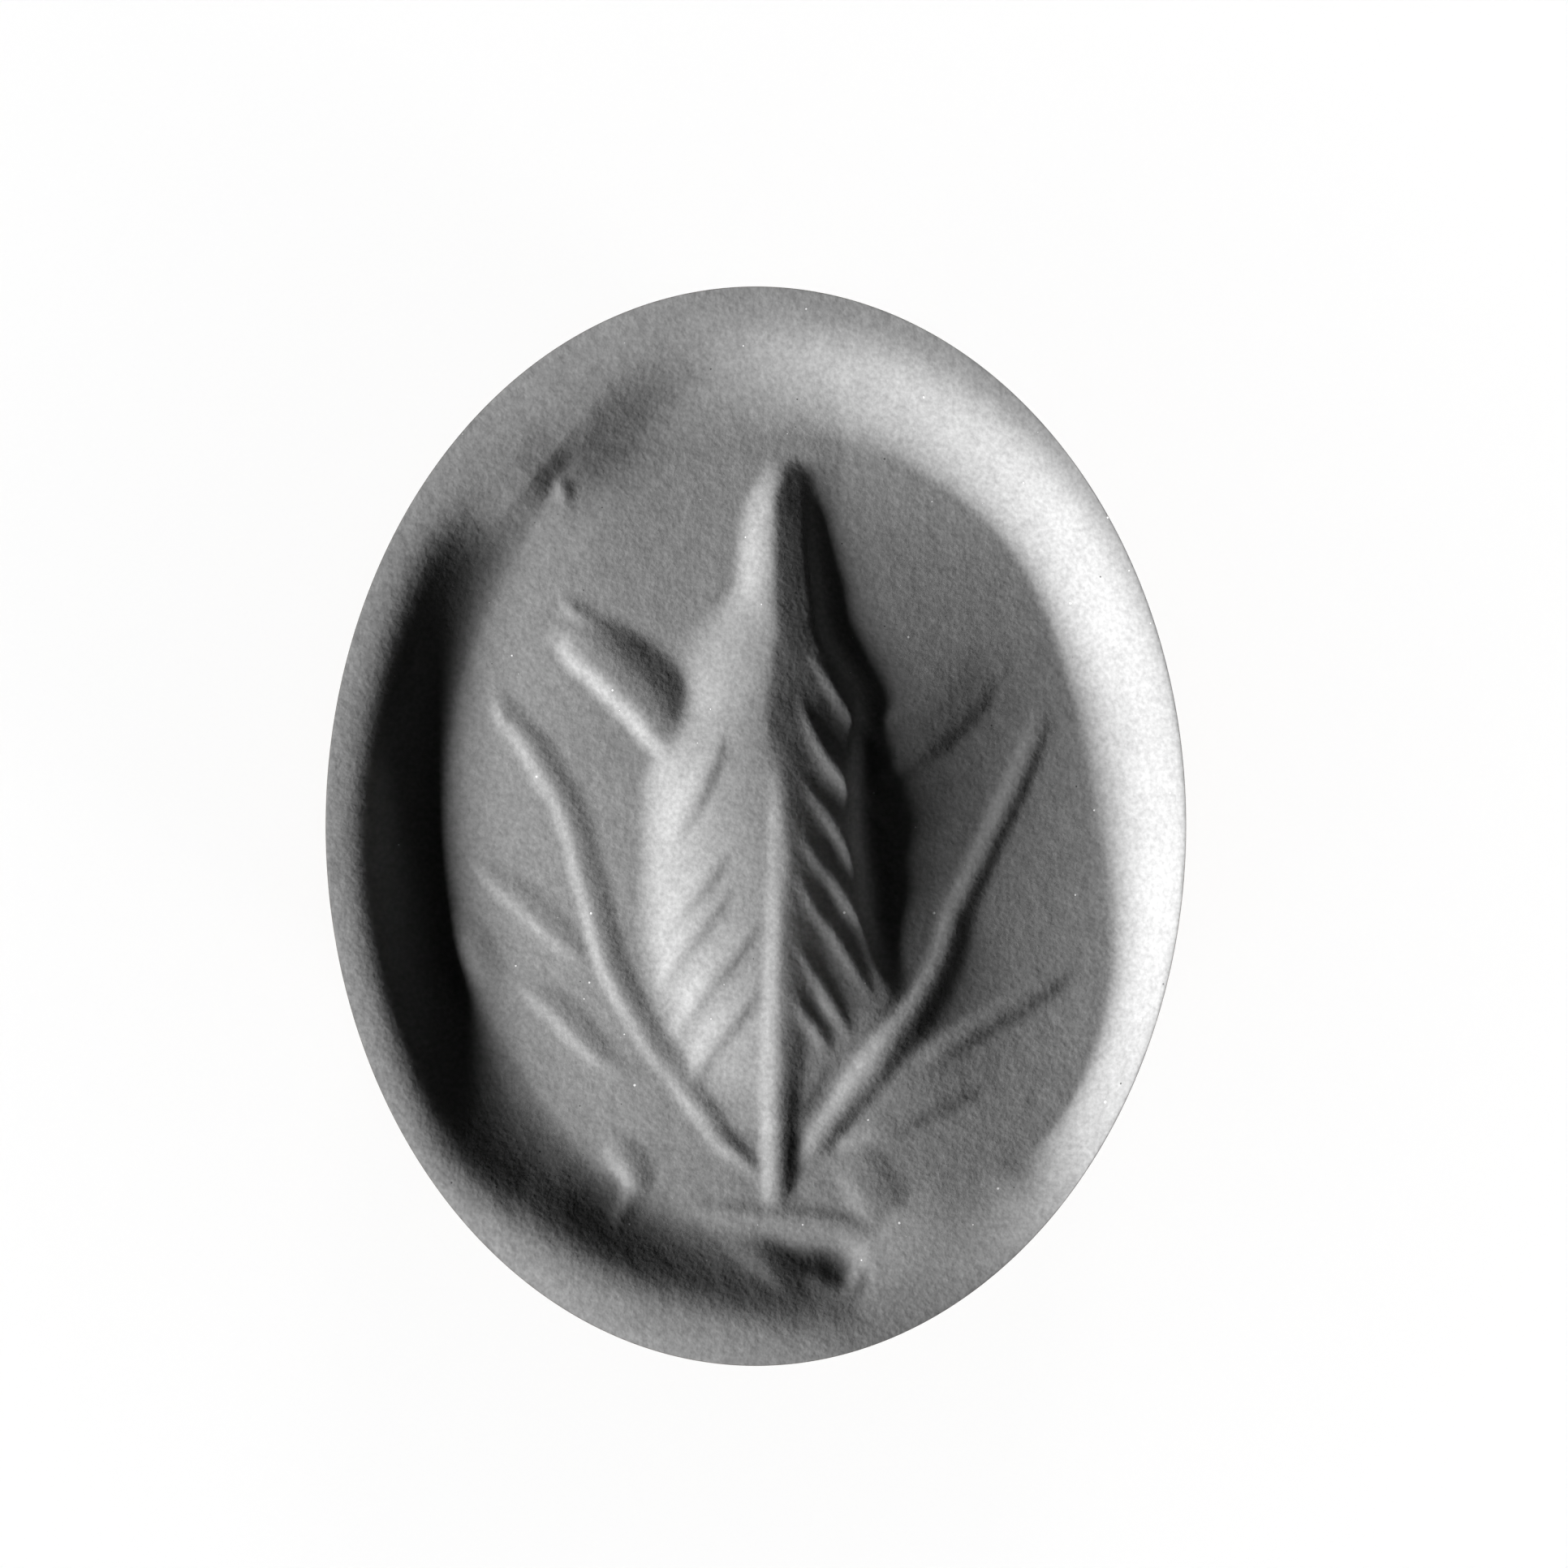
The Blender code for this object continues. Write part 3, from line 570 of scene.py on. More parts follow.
# Flaws of the casting, as strokes: raised ones and, with a height below nothing, hollow ones
FLAWS = [
    # The ground line under the plant
    [
        (-1.6, -8.85, 0.25, 0.1, 0.01),
        (-0.9, -8.95, 0.45, 0.24, 0.045),
        (0, -9, 0.5, 0.24, 0.055),
        (1, -9.05, 0.5, 0.22, 0.055),
        (1.8, -9.15, 0.45, 0.22, 0.045),
        (2.6, -9.4, 0.25, 0.2, 0.01),
    ],
    # Below it a lump, a gouge and a second small lump
    [
        (-0.6, -9.65, 0.2, 0.3, 0.01),
        (-0.2, -9.85, 0.34, 0.6, 0.04),
        (0.15, -10.1, 0.36, 0.7, 0.05),
        (0.5, -10.4, 0.32, 0.7, 0.04),
        (0.75, -10.75, 0.18, 0.4, 0.01),
    ],
    [
        (0.35, -9.62, 0.2, 0.25, -0.01),
        (1.2, -9.85, 0.4, 0.4, -0.03),
        (1.95, -10.1, 0.6, 0.6, -0.11),
        (2.35, -10.3, 0.5, 0.4, -0.07),
        (2.45, -10.6, 0.2, 0.2, -0.01),
    ],
    [
        (2.55, -10.05, 0.12, 0.12, 0.01),
        (2.42, -10.35, 0.22, 0.26, 0.035),
        (2.22, -10.7, 0.2, 0.24, 0.025),
        (2.05, -10.95, 0.12, 0.12, 0.005),
    ],
    # A hook of flash low on the left
    [
        (-3.42, -7.35, 0.16, 0.2, 0.01),
        (-3.18, -7.62, 0.38, 0.5, 0.055),
        (-2.95, -7.95, 0.34, 0.6, 0.07),
        (-2.85, -8.35, 0.26, 0.5, 0.06),
        (-3.02, -8.75, 0.24, 0.34, 0.04),
        (-3.25, -9.2, 0.18, 0.2, 0.01),
    ],
    # Lumps on the left wall's foot and low on the right
    [
        (-6.9, -2.2, 0.3, 0.4, 0.02),
        (-6.66, -2.7, 0.44, 0.6, 0.06),
        (-6.44, -3.2, 0.44, 0.6, 0.06),
        (-6.22, -3.75, 0.3, 0.5, 0.01),
    ],
    [
        (2.05, -7.8, 0.35, 0.5, 0.01),
        (2.4, -8.25, 0.55, 0.9, 0.045),
        (2.72, -8.75, 0.55, 0.9, 0.045),
        (2.95, -9.2, 0.35, 0.5, 0.01),
    ],
    # A shallow chip at the upper left, with a fleck of flash beside it
    [
        (-4.2, 9.15, 0.5, 0.4, -0.02),
        (-4.68, 8.75, 0.8, 0.7, -0.03),
        (-4.8, 8.35, 0.7, 0.6, -0.02),
        (-4.55, 8, 0.4, 0.35, -0.01),
    ],
    [
        (-4.6, 8.12, 0.1, 0.12, 0.01),
        (-4.48, 7.8, 0.24, 0.24, 0.05),
        (-4.36, 7.42, 0.14, 0.14, 0.01),
    ],
    # Small specks of flash
    [
        (-5.97, 2.56, 0.12, 0.12, 0.02),
        (-5.9, 2.48, 0.14, 0.14, 0.05),
        (-5.83, 2.4, 0.1, 0.1, 0.02),
    ],
    [
        (0.65, -8.66, 0.06, 0.06, 0.01),
        (0.8, -8.63, 0.08, 0.06, 0.02),
        (0.95, -8.62, 0.06, 0.06, 0.01),
    ],
]
EAR_FILLET = 0.18
# The relief is this share of the heights in the tables
RELIEF_SHARE = 0.74


def face_height(x, y):
    """Level of the face below the rim."""
    leaves = stroke(x, y, LEFT_LEAF, LEFT_LEAF_ROUNDING) + stroke(x, y, LEAF_TIP)
    leaves = leaves + stroke(x, y, RIGHT_LEAF, RIGHT_LEAF_ROUNDING)
    level = fillet_max(bowl(x, y) + leaves, ear(x, y), EAR_FILLET)
    for barbs, size in ((LEFT_BARBS, LEFT_BARB), (RIGHT_BARBS, RIGHT_BARB)):
        raised = np.zeros(x.shape)
        for points in barbs:
            raised = np.maximum(raised, barb(x, y, points, size))
        level = level + raised
    stems = stroke(x, y, CENTRAL_STEM)
    for stations in (LEFT_STEM, RIGHT_STEM, *LEAFLETS):
        stems = np.maximum(stems, stroke(x, y, stations))
    level = level + stems
    for stations in FLAWS:
        level = level + stroke(x, y, stations)
    return np.minimum(RELIEF_SHARE * level, 0)


# The die: squares of its grid each way, rounds of wear, and the rounding of its edges
GRID = 290
WEAR_ROUNDS = 2
EDGE_ROUND = 0.03
# The worn arris between face and side: inset and level of its rings, in shares of EDGE_ROUND
ARRIS = ((0.4, 0.0), (0.12, -0.01), (0.1, -0.05), (0.0, -0.20))
# Clearance between two pieces that meet
JOINT_GAP = 0.05
FLANGE_BASE = CUP_HIGH.z + JOINT_GAP
# How far below the rim the side starts, deeper than the deepest part of the face
SIDE_START = 2.0
TENON_INSET = 1.63


def worn(heights):
    """Heights on a square grid, each averaged with its neighbours, as a worn mould leaves them."""
    side = round(math.sqrt(len(heights)))
    table = heights.reshape(side, side)
    for _ in range(WEAR_ROUNDS):
        for axis in (0, 1):
            padding = [(1, 1) if axis == along else (0, 0) for along in (0, 1)]
            wide = np.pad(table, padding, mode="edge")
            before = np.take(wide, range(side), axis)
            after = np.take(wide, range(2, side + 2), axis)
            table = 0.5 * table + 0.25 * (before + after)
    return table.ravel()


def cast_die():
    """The die: a fine grid drawn to an oval and raised in relief, then drawn down for its sides and tenon."""
    deselect()
    bpy.ops.mesh.primitive_grid_add(x_subdivisions=GRID, y_subdivisions=GRID, size=2)
    piece = bpy.context.object
    piece.name = "cast_die"
    count = len(piece.data.vertices)
    flat = np.empty(count * 3)
    piece.data.vertices.foreach_get("co", flat)
    square = flat.reshape(count, 3)
    across = square[:, 0] * np.sqrt(1 - square[:, 1] ** 2 / 2)
    along = square[:, 1] * np.sqrt(1 - square[:, 0] ** 2 / 2)
    arris = [oval(EDGE_ROUND * inset, EDGE_ROUND * level) for inset, level in ARRIS]
    x = across * arris[0][0]
    y = along * arris[0][1]
    z = FACE + worn(face_height(x, y))
    placed = np.stack([x, y, z], axis=1) * MM
    piece.data.vertices.foreach_set("co", placed.ravel())
    piece.data.update()
    edit(piece)
    select_open_edges()
    draw_out(arris, bpy.ops.mesh.extrude_edges_move)
    # The next ring is drawn flat, since the rim isn't level all round
    side_top = FACE - SIDE_START
    bpy.ops.mesh.extrude_edges_move(TRANSFORM_OT_translate={"value": (0, 0, 0)})
    bpy.ops.transform.resize(value=(1, 1, 0), center_override=(0, 0, side_top * MM))
    rings = [
        oval(0.0, side_top),
        oval(0.0, FLANGE_BASE + EDGE_ROUND),
        oval(EDGE_ROUND * 0.3, FLANGE_BASE + EDGE_ROUND * 0.3),
        oval(EDGE_ROUND, FLANGE_BASE),
        oval(TENON_INSET, FLANGE_BASE),
        oval(TENON_INSET, DIE_LOW.z),
    ]
    draw_out(rings, bpy.ops.mesh.extrude_edges_move)
    bpy.ops.mesh.fill()
    leave()
    return settle(piece, angle=60)


# The brass cup, washer, stud and ferrule
CUP_SETBACK = 0.45
CUP_WALL = 1.1
CUP_FLOOR = 1.6
CUP_LIP = 0.15
LIP_BREAK = 0.04
COVE_HEIGHT = 3.2
COVE_STEPS = 12
UNDERSIDE_STEPS = 5
BOSS_LENGTH = 5.0
BOSS_RADIUS = 5.58
BOSS_ROUND = 0.2
BOSS_HOLE_RADIUS = 3.08
OVAL_SIDES = 128
ROUND_SIDES = 96


def die_cup():
    """An oval cup with a rounded underside, a cove and a round boss."""
    base = CUP_LOW.z
    rim = CUP_HIGH.z
    underside = base + BOSS_LENGTH + COVE_HEIGHT
    middle_floor = underside + CUP_FLOOR * 0.5
    inside = CUP_SETBACK + CUP_WALL
    rings = [
        oval(inside, underside + CUP_FLOOR),
        oval(inside, rim),
        oval(CUP_SETBACK + CUP_LIP, rim),
        oval(CUP_SETBACK + LIP_BREAK, rim - LIP_BREAK),
        oval(CUP_SETBACK, rim - CUP_LIP),
        oval(CUP_SETBACK, middle_floor),
    ]
    for step in range(1, UNDERSIDE_STEPS + 1):
        turn = math.pi / 2 * step / UNDERSIDE_STEPS
        inset = CUP_SETBACK + 0.5 * CUP_WALL * (1 - math.cos(turn))
        rings.append(oval(inset, underside + CUP_FLOOR * 0.5 * (1 - math.sin(turn))))
    start_x, start_y = rings[-1][:2]
    for step in range(1, COVE_STEPS + 1):
        turn = math.pi / 2 * step / COVE_STEPS
        share = math.sin(turn)
        semi_x = start_x + (BOSS_RADIUS - start_x) * share
        semi_y = start_y + (BOSS_RADIUS - start_y) * share
        rings.append((semi_x, semi_y, underside - COVE_HEIGHT * (1 - math.cos(turn))))
    rings += corner(BOSS_RADIUS - BOSS_ROUND, base + BOSS_ROUND, BOSS_ROUND, 0, -90, 3)
    rings += [circle(BOSS_HOLE_RADIUS, base), circle(BOSS_HOLE_RADIUS, STUD_HIGH.z + JOINT_GAP)]
    return turned("milled_cup", rings, OVAL_SIDES)


STUD_RADIUS = 3.0
THREAD_DEPTH = 0.6
THREAD_PITCH = 1.0
THREAD_SIDES = 64
THREAD_ROWS = 14
# The thread's profile, from the middle of its crest outwards, cut off flat at 1 and at 0
CREST_HEIGHT = 1.25
FLANK_FALL = 1.8
# Points of a seam that are nearer than this, in millimetres, are one
SEAM = 0.001


def threaded_stud():
    """A rod of many rings whose radius follows a right-hand helix that fades out at both ends."""
    base, top = STUD_LOW.z, STUD_HIGH.z
    rows = round((top - base) / THREAD_PITCH * THREAD_ROWS)
    deselect()
    bpy.ops.mesh.primitive_grid_add(x_subdivisions=THREAD_SIDES, y_subdivisions=rows, size=1)
    piece = bpy.context.object
    piece.name = "cut_stud"
    for point in piece.data.vertices:
        share = point.co.x + 0.5
        level = base + (point.co.y + 0.5) * (top - base)
        turn = 2 * math.pi * share
        phase = ((level - base) / THREAD_PITCH - share) % 1.0
        crest = min(1.0, max(0.0, CREST_HEIGHT - FLANK_FALL * abs(2.0 * phase - 1.0)))
        fade = min(1.0, (level - base) / THREAD_PITCH, (top - level) / THREAD_PITCH)
        radius = STUD_RADIUS - THREAD_DEPTH * (1 - crest * fade)
        point.co = Vector((radius * math.cos(turn), radius * math.sin(turn), level)) * MM
    edit(piece)
    bpy.ops.mesh.remove_doubles(threshold=SEAM * MM)
    select_open_edges()
    bpy.ops.mesh.edge_face_add()
    leave()
    return settle(piece, angle=40)


WASHER_BORE = 3.15
WASHER_ROUND = 0.14


def seat_washer():
    outer = WASHER_HIGH.x - WASHER_ROUND
    low, high = WASHER_LOW.z, WASHER_HIGH.z
    rings = [circle(WASHER_BORE, low), circle(WASHER_BORE + 0.05, low)]
    rings += corner(outer, low + WASHER_ROUND, WASHER_ROUND, -90, 0, 4)
    rings += corner(outer, high - WASHER_ROUND, WASHER_ROUND, 0, 90, 4)
    rings += [circle(WASHER_BORE, high)]
    return turned("cut_washer", rings, ROUND_SIDES, pierced=True)


FERRULE_BEAD = 0.4
FERRULE_RADIUS = 7.06
FERRULE_INNER = 6.06
FERRULE_END_WALL = 1.0
# Two turned grooves: how high each lies above the ferrule's foot, and half their widths
GROOVE_RISES = (1.3, 7.9)
GROOVE_DEPTH = 0.08
GROOVE_HALF = 0.12
GROOVE_HALF_BOTTOM = 0.05
PIN_RADIUS = 0.65
PIN_GAP = 0.08
PIN_LENGTH = 1.8
PIN_SIDES = 48
DOME_STEPS = 8


def drill(radius, depth, seat, way):
    """A rod for a hole that goes that deep from its seat."""
    deselect()
    bpy.ops.mesh.primitive_cylinder_add(vertices=PIN_SIDES, radius=radius * MM, depth=2 * depth * MM)
    bit = bpy.context.object
    lay_along(bit, way, seat)
    return bit


def drill_for_pins(piece, depth):
    """Drills the holes for the two pins that go through the ferrule into the handle."""
    for side in (-1, 1):
        seat = (side * FERRULE_RADIUS, 0, PIN_LEVEL)
        take_out(piece, drill(PIN_RADIUS + PIN_GAP, depth, seat, (side, 0, 0)))


def domed_pin(name, radius, length, head, seat, way):
    """A pin whose domed head stands proud of its seat by head."""
    rings = [circle(radius, -length), circle(radius, 0.0)]
    for step in range(1, DOME_STEPS):
        turn = math.pi / 2 * step / DOME_STEPS
        rings.append(circle(radius * math.cos(turn), head * math.sin(turn)))
    piece = turned(name, rings, PIN_SIDES)
    lay_along(piece, way, seat)
    return piece


def ferrule():
    low, high = FERRULE_LOW.z, FERRULE_HIGH.z
    rings = [circle(FERRULE_INNER, low)]
    rings += corner(FERRULE_RADIUS, low + FERRULE_BEAD, FERRULE_BEAD, -90, 90, 12)
    for rise in GROOVE_RISES:
        level = low + rise
        rings += [
            circle(FERRULE_RADIUS, level - GROOVE_HALF),
            circle(FERRULE_RADIUS - GROOVE_DEPTH, level - GROOVE_HALF_BOTTOM),
            circle(FERRULE_RADIUS - GROOVE_DEPTH, level + GROOVE_HALF_BOTTOM),
            circle(FERRULE_RADIUS, level + GROOVE_HALF),
        ]
    rings += corner(FERRULE_RADIUS - FERRULE_BEAD, high - FERRULE_BEAD, FERRULE_BEAD, 0, 90, 6)
    rings += [
        circle(WASHER_BORE, high),
        circle(WASHER_BORE, high - FERRULE_END_WALL),
        circle(FERRULE_INNER, high - FERRULE_END_WALL),
    ]
    piece = turned("spun_ferrule", rings, ROUND_SIDES, pierced=True, angle=40)
    drill_for_pins(piece, PIN_LENGTH)
    return settle(piece, angle=40)


# The turned handle: the same outline as its solid, in more steps
HANDLE_FOOT_RADIUS = 10.4
HANDLE_PALM_RADIUS = 11.6
HANDLE_PALM_HEIGHT = 9.0
WAIST_RADIUS = 6.1
WAIST_FROM_SHOULDER = 9.0
SHOULDER_RADIUS = 7.36
TENON_RADIUS = 5.98
PILOT_RADIUS = 1.48
INSERT_HOLE_RADIUS = 4.48
INSERT_HOLE_DEPTH = 10.15
MARK_LENGTH = 2.6
# Its broken edges: inset at the foot and share of the palm's height there, inset and share at the shoulder
FOOT_EDGE = 0.12
FOOT_EDGE_SHARE = 0.012
SHOULDER_EDGE = 0.1
SHOULDER_EDGE_SHARE = 0.985
# Steps from foot to palm, from palm to waist and from waist to shoulder
PALM_STEPS = 12
NECK_STEPS = 32
FLARE_STEPS = 16


def handle():
    base = HANDLE_LOW.z
    shoulder = FERRULE_LOW.z - JOINT_GAP
    palm = base + HANDLE_PALM_HEIGHT
    waist = shoulder - WAIST_FROM_SHOULDER
    rings = [
        circle(PILOT_RADIUS, SCREW_HIGH.z + JOINT_GAP),
        circle(PILOT_RADIUS, base),
        circle(HANDLE_FOOT_RADIUS - FOOT_EDGE, base),
    ]
    for step in range(PALM_STEPS + 1):
        share = max(step / PALM_STEPS, FOOT_EDGE_SHARE)
        swell = math.sin(math.pi / 2 * share)
        radius = HANDLE_FOOT_RADIUS + (HANDLE_PALM_RADIUS - HANDLE_FOOT_RADIUS) * swell
        rings.append(circle(radius, base + HANDLE_PALM_HEIGHT * share))
    for step in range(1, NECK_STEPS + 1):
        share = step / NECK_STEPS
        fall = (1 - math.cos(math.pi * share)) / 2
        radius = HANDLE_PALM_RADIUS + (WAIST_RADIUS - HANDLE_PALM_RADIUS) * fall
        rings.append(circle(radius, palm + (waist - palm) * share))
    for step in range(1, FLARE_STEPS + 1):
        share = step / FLARE_STEPS * SHOULDER_EDGE_SHARE
        flare = 1 - math.cos(math.pi / 2 * share)
        radius = WAIST_RADIUS + (SHOULDER_RADIUS - WAIST_RADIUS) * flare
        rings.append(circle(radius, waist + WAIST_FROM_SHOULDER * share))
    rings += [
        circle(SHOULDER_RADIUS - SHOULDER_EDGE, shoulder),
        circle(TENON_RADIUS, shoulder),
        circle(TENON_RADIUS, HANDLE_HIGH.z),
        circle(INSERT_HOLE_RADIUS, HANDLE_HIGH.z),
        circle(INSERT_HOLE_RADIUS, HANDLE_HIGH.z - INSERT_HOLE_DEPTH),
    ]
    piece = turned("turned_handle", rings, ROUND_SIDES, angle=40)
    hole = drill(MARK_RADIUS + PIN_GAP, MARK_LENGTH + JOINT_GAP, (0, -WAIST_RADIUS, waist), (0, -1, 0))
    take_out(piece, hole)
    drill_for_pins(piece, PIN_LENGTH + JOINT_GAP)
    return settle(piece, angle=40)


POMMEL_ROUND = 0.5
SCREW_HEAD_RADIUS = 3.1
SCREW_HEAD_RIM = 0.15
SCREW_HEAD_DEPTH = 1.6
SCREW_EDGE = 0.08
SCREW_EDGE_RISE = 0.06
SCREW_SHANK_RADIUS = 1.4
SCREW_POINT = 3.0
SCREW_TIP_RADIUS = 0.21
SCREW_SIDES = 64
SCREW_SINK_RADIUS = 3.18
SINK_EDGE = 0.12
SLOT_WIDTH = 0.8
SLOT_DEPTH = 0.6


def pommel_cap():
    edge = CAP_HIGH.x - POMMEL_ROUND
    top = CAP_HIGH.z
    rings = [
        circle(PILOT_RADIUS, SCREW_LOW.z + SCREW_HEAD_DEPTH),
        circle(SCREW_SINK_RADIUS, SCREW_LOW.z + SCREW_HEAD_RIM),
        circle(SCREW_SINK_RADIUS, SINK_EDGE),
        circle(SCREW_SINK_RADIUS + SINK_EDGE, 0.0),
    ]
    rings += corner(edge, POMMEL_ROUND, POMMEL_ROUND, -90, 0, 8)
    rings += corner(edge, top - POMMEL_ROUND, POMMEL_ROUND, 0, 90, 8)
    rings += [circle(PILOT_RADIUS, top)]
    return turned("turned_cap", rings, ROUND_SIDES, pierced=True, angle=40)


def pommel_screw():
    low, high = SCREW_LOW.z, SCREW_HIGH.z
    rings = [
        circle(SCREW_HEAD_RADIUS - SCREW_EDGE, low),
        circle(SCREW_HEAD_RADIUS, low + SCREW_EDGE_RISE),
        circle(SCREW_HEAD_RADIUS, low + SCREW_HEAD_RIM),
        circle(SCREW_SHANK_RADIUS, low + SCREW_HEAD_DEPTH),
        circle(SCREW_SHANK_RADIUS, high - SCREW_POINT),
        circle(SCREW_TIP_RADIUS, high),
    ]
    piece = turned("slotted_screw", rings, SCREW_SIDES, angle=35)
    deselect()
    bpy.ops.mesh.primitive_cube_add(size=MM, location=(0, 0, low * MM))
    slot = bpy.context.object
    edit(slot)
    wide = (3 * SCREW_HEAD_RADIUS, SLOT_WIDTH, 2 * SLOT_DEPTH)
    bpy.ops.transform.resize(value=wide, center_override=(0, 0, low * MM))
    leave()
    take_out(piece, slot)
    return settle(piece, angle=35)


# Materials
def linear(code):
    """A colour written as sRGB hex, turned to linear."""
    values = []
    for place in (1, 3, 5):
        value = int(code[place : place + 2], 16) / 255
        values.append(value / 12.92 if value <= 0.04045 else ((value + 0.055) / 1.055) ** 2.4)
    return (*values, 1.0)


def add(tree, kind, settings=None, links=None):
    """Adds a node. Settings name its own properties or its sockets; links name sockets to feed from."""
    made = tree.nodes.new(kind)
    for name, value in (settings or {}).items():
        if isinstance(name, str) and hasattr(made, name):
            setattr(made, name, value)
        else:
            made.inputs[name].default_value = value
    for name, source in (links or {}).items():
        tree.links.new(source, made.inputs[name])
    return made


def new_material(name):
    """A material, its empty tree, and coordinates in metres that go with the piece."""
    material = bpy.data.materials.new(name)
    material.use_nodes = True
    tree = material.node_tree
    tree.nodes.clear()
    return material, tree, add(tree, "ShaderNodeTexCoord").outputs["Object"]


def finish_material(tree, shader):
    add(tree, "ShaderNodeOutputMaterial", links={"Surface": shader.outputs[0]})


def per_mm(size):
    """Texture scale for a pattern of that size in millimetres, on coordinates in metres."""
    return 1 / (size * MM)


# The next helpers return the output of the node that they add
def noise(tree, size, detail, place):
    made = add(tree, "ShaderNodeTexNoise", {"Scale": per_mm(size), "Detail": detail}, {"Vector": place})
    return made.outputs[0]


def stretched(tree, scale, place):
    return add(tree, "ShaderNodeMapping", {"Scale": scale}, {"Vector": place}).outputs[0]


def ramp(tree, source, stops):
    made = add(tree, "ShaderNodeValToRGB", links={"Fac": source})
    elements = made.color_ramp.elements
    while len(elements) < len(stops):
        elements.new(0.5)
    for element, (place, colour) in zip(elements, stops):
        element.position = place
        element.color = colour
    return made.outputs[0]


def tones(tree, source, *stops):
    """A ramp of colours that are written as sRGB hex."""
    return ramp(tree, source, [(place, linear(code)) for place, code in stops])


def spread(tree, source, low, high, to_low, to_high):
    """Numbers from low to high, spread over another range."""
    span = {1: low, 2: high, 3: to_low, 4: to_high}
    return add(tree, "ShaderNodeMapRange", span, {0: source}).outputs[0]


def far(tree, place):
    """How far a place lies from the origin."""
    made = add(tree, "ShaderNodeVectorMath", {"operation": "LENGTH"}, {0: place})
    return made.outputs["Value"]


def blend(tree, share, first, second):
    """A share of the second number, mixed into the first."""
    made = add(tree, "ShaderNodeMix", {"data_type": "FLOAT", 0: share}, {2: first, 3: second})
    return made.outputs[0]


def darkened(tree, share, colour, pattern):
    """A colour, multiplied by a pattern to a share."""
    settings = {"data_type": "RGBA", "blend_type": "MULTIPLY", 0: share}
    return add(tree, "ShaderNodeMix", settings, {6: colour, 7: pattern}).outputs[2]


def spotted(tree, colour, code, spots):
    """A colour with another one in its spots."""
    made = add(tree, "ShaderNodeMix", {"data_type": "RGBA", 7: linear(code)}, {0: spots, 6: colour})
    return made.outputs[2]


def spots_in(tree, place, cell, start, largest, channel):
    """Round spots in cells of that size in millimetres. A cell whose random number is above start holds one,
    and the number also sets its size, up to the largest share of the cell."""
    cells = add(tree, "ShaderNodeTexVoronoi", {"Scale": per_mm(cell)}, {"Vector": place})
    chance = add(tree, "ShaderNodeSeparateColor", links={0: cells.outputs["Color"]})
    size = spread(tree, chance.outputs[channel], start, 1.0, 0.0, largest)
    links = {0: cells.outputs["Distance"], 1: size}
    return add(tree, "ShaderNodeMath", {"operation": "LESS_THAN"}, links).outputs[0]


def bump(tree, strength, depth, height, normal=None):
    """A bump of a depth in millimetres, on top of another one if its normal is named."""
    links = {"Height": height}
    if normal is not None:
        links["Normal"] = normal
    return add(tree, "ShaderNodeBump", {"Strength": strength, "Distance": depth * MM}, links).outputs[0]


def principled(tree, settings, links):
    """Ends a material in one principled shader."""
    finish_material(tree, add(tree, "ShaderNodeBsdfPrincipled", settings, links))


# Turns a place on the face into a share of the oval: 1 all round its outline
OVAL_SHARE = (per_mm(SEMI_X), per_mm(SEMI_Y), 0.0)
# The shares between which the look of the face passes into that of the side
SIDE_FROM = 0.9985
SIDE_FULL = 0.9996


def cast_composition():
    """Plaster-filled casting composition, poured and rubbed satin: a cloudy grey with a fine mineral grain,
    pin holes left by air bubbles, white dust caught in the surface, and no shine to speak of. Its side is
    painted dark, as shade."""
    material, tree, place = new_material("cast mineral composition")
    cloud = noise(tree, 2.5, 3.0, place)
    mottle = noise(tree, 0.45, 2.0, place)
    grain = noise(tree, 0.11, 3.0, place)
    patchy = blend(tree, 0.5, cloud, mottle)
    body = tones(tree, blend(tree, 0.6, patchy, grain), (0.3, "#747474"), (0.7, "#929292"))
    pitted = spotted(tree, body, "#4A4A4A", spots_in(tree, place, 0.5, 0.5, 0.055, 0))
    dusted = spotted(tree, pitted, "#DCDCDC", spots_in(tree, place, 0.4, 0.55, 0.075, 1))
    # The side is painted dark as shade, which holds down the raking lamp that falls on it: how far out a
    # point lies on the oval tells side from face
    outward = add(tree, "ShaderNodeVectorMath", {"operation": "MULTIPLY", 1: OVAL_SHARE}, {0: place})
    side = spread(tree, far(tree, outward.outputs[0]), SIDE_FROM, SIDE_FULL, 0.0, 1.0)
    painted_side_shade = tones(tree, patchy, (0.35, "#46423E"), (0.7, "#605C57"))
    face_and_shaded_side = add(tree, "ShaderNodeMix", {"data_type": "RGBA"}, {0: side, 6: dusted, 7: painted_side_shade}).outputs[2]
    skin = bump(tree, 0.5, 0.012, grain)
    uneven = bump(tree, 0.4, 0.03, mottle, skin)
    rubbed = ramp(tree, mottle, [(0.3, (0.52, 0.52, 0.52, 1)), (0.7, (0.68, 0.68, 0.68, 1))])
    look = {"Base Color": face_and_shaded_side, "Roughness": rubbed, "Normal": uneven}
    principled(tree, {"IOR": 1.5, "Specular IOR Level": 0.03}, look)
    return material


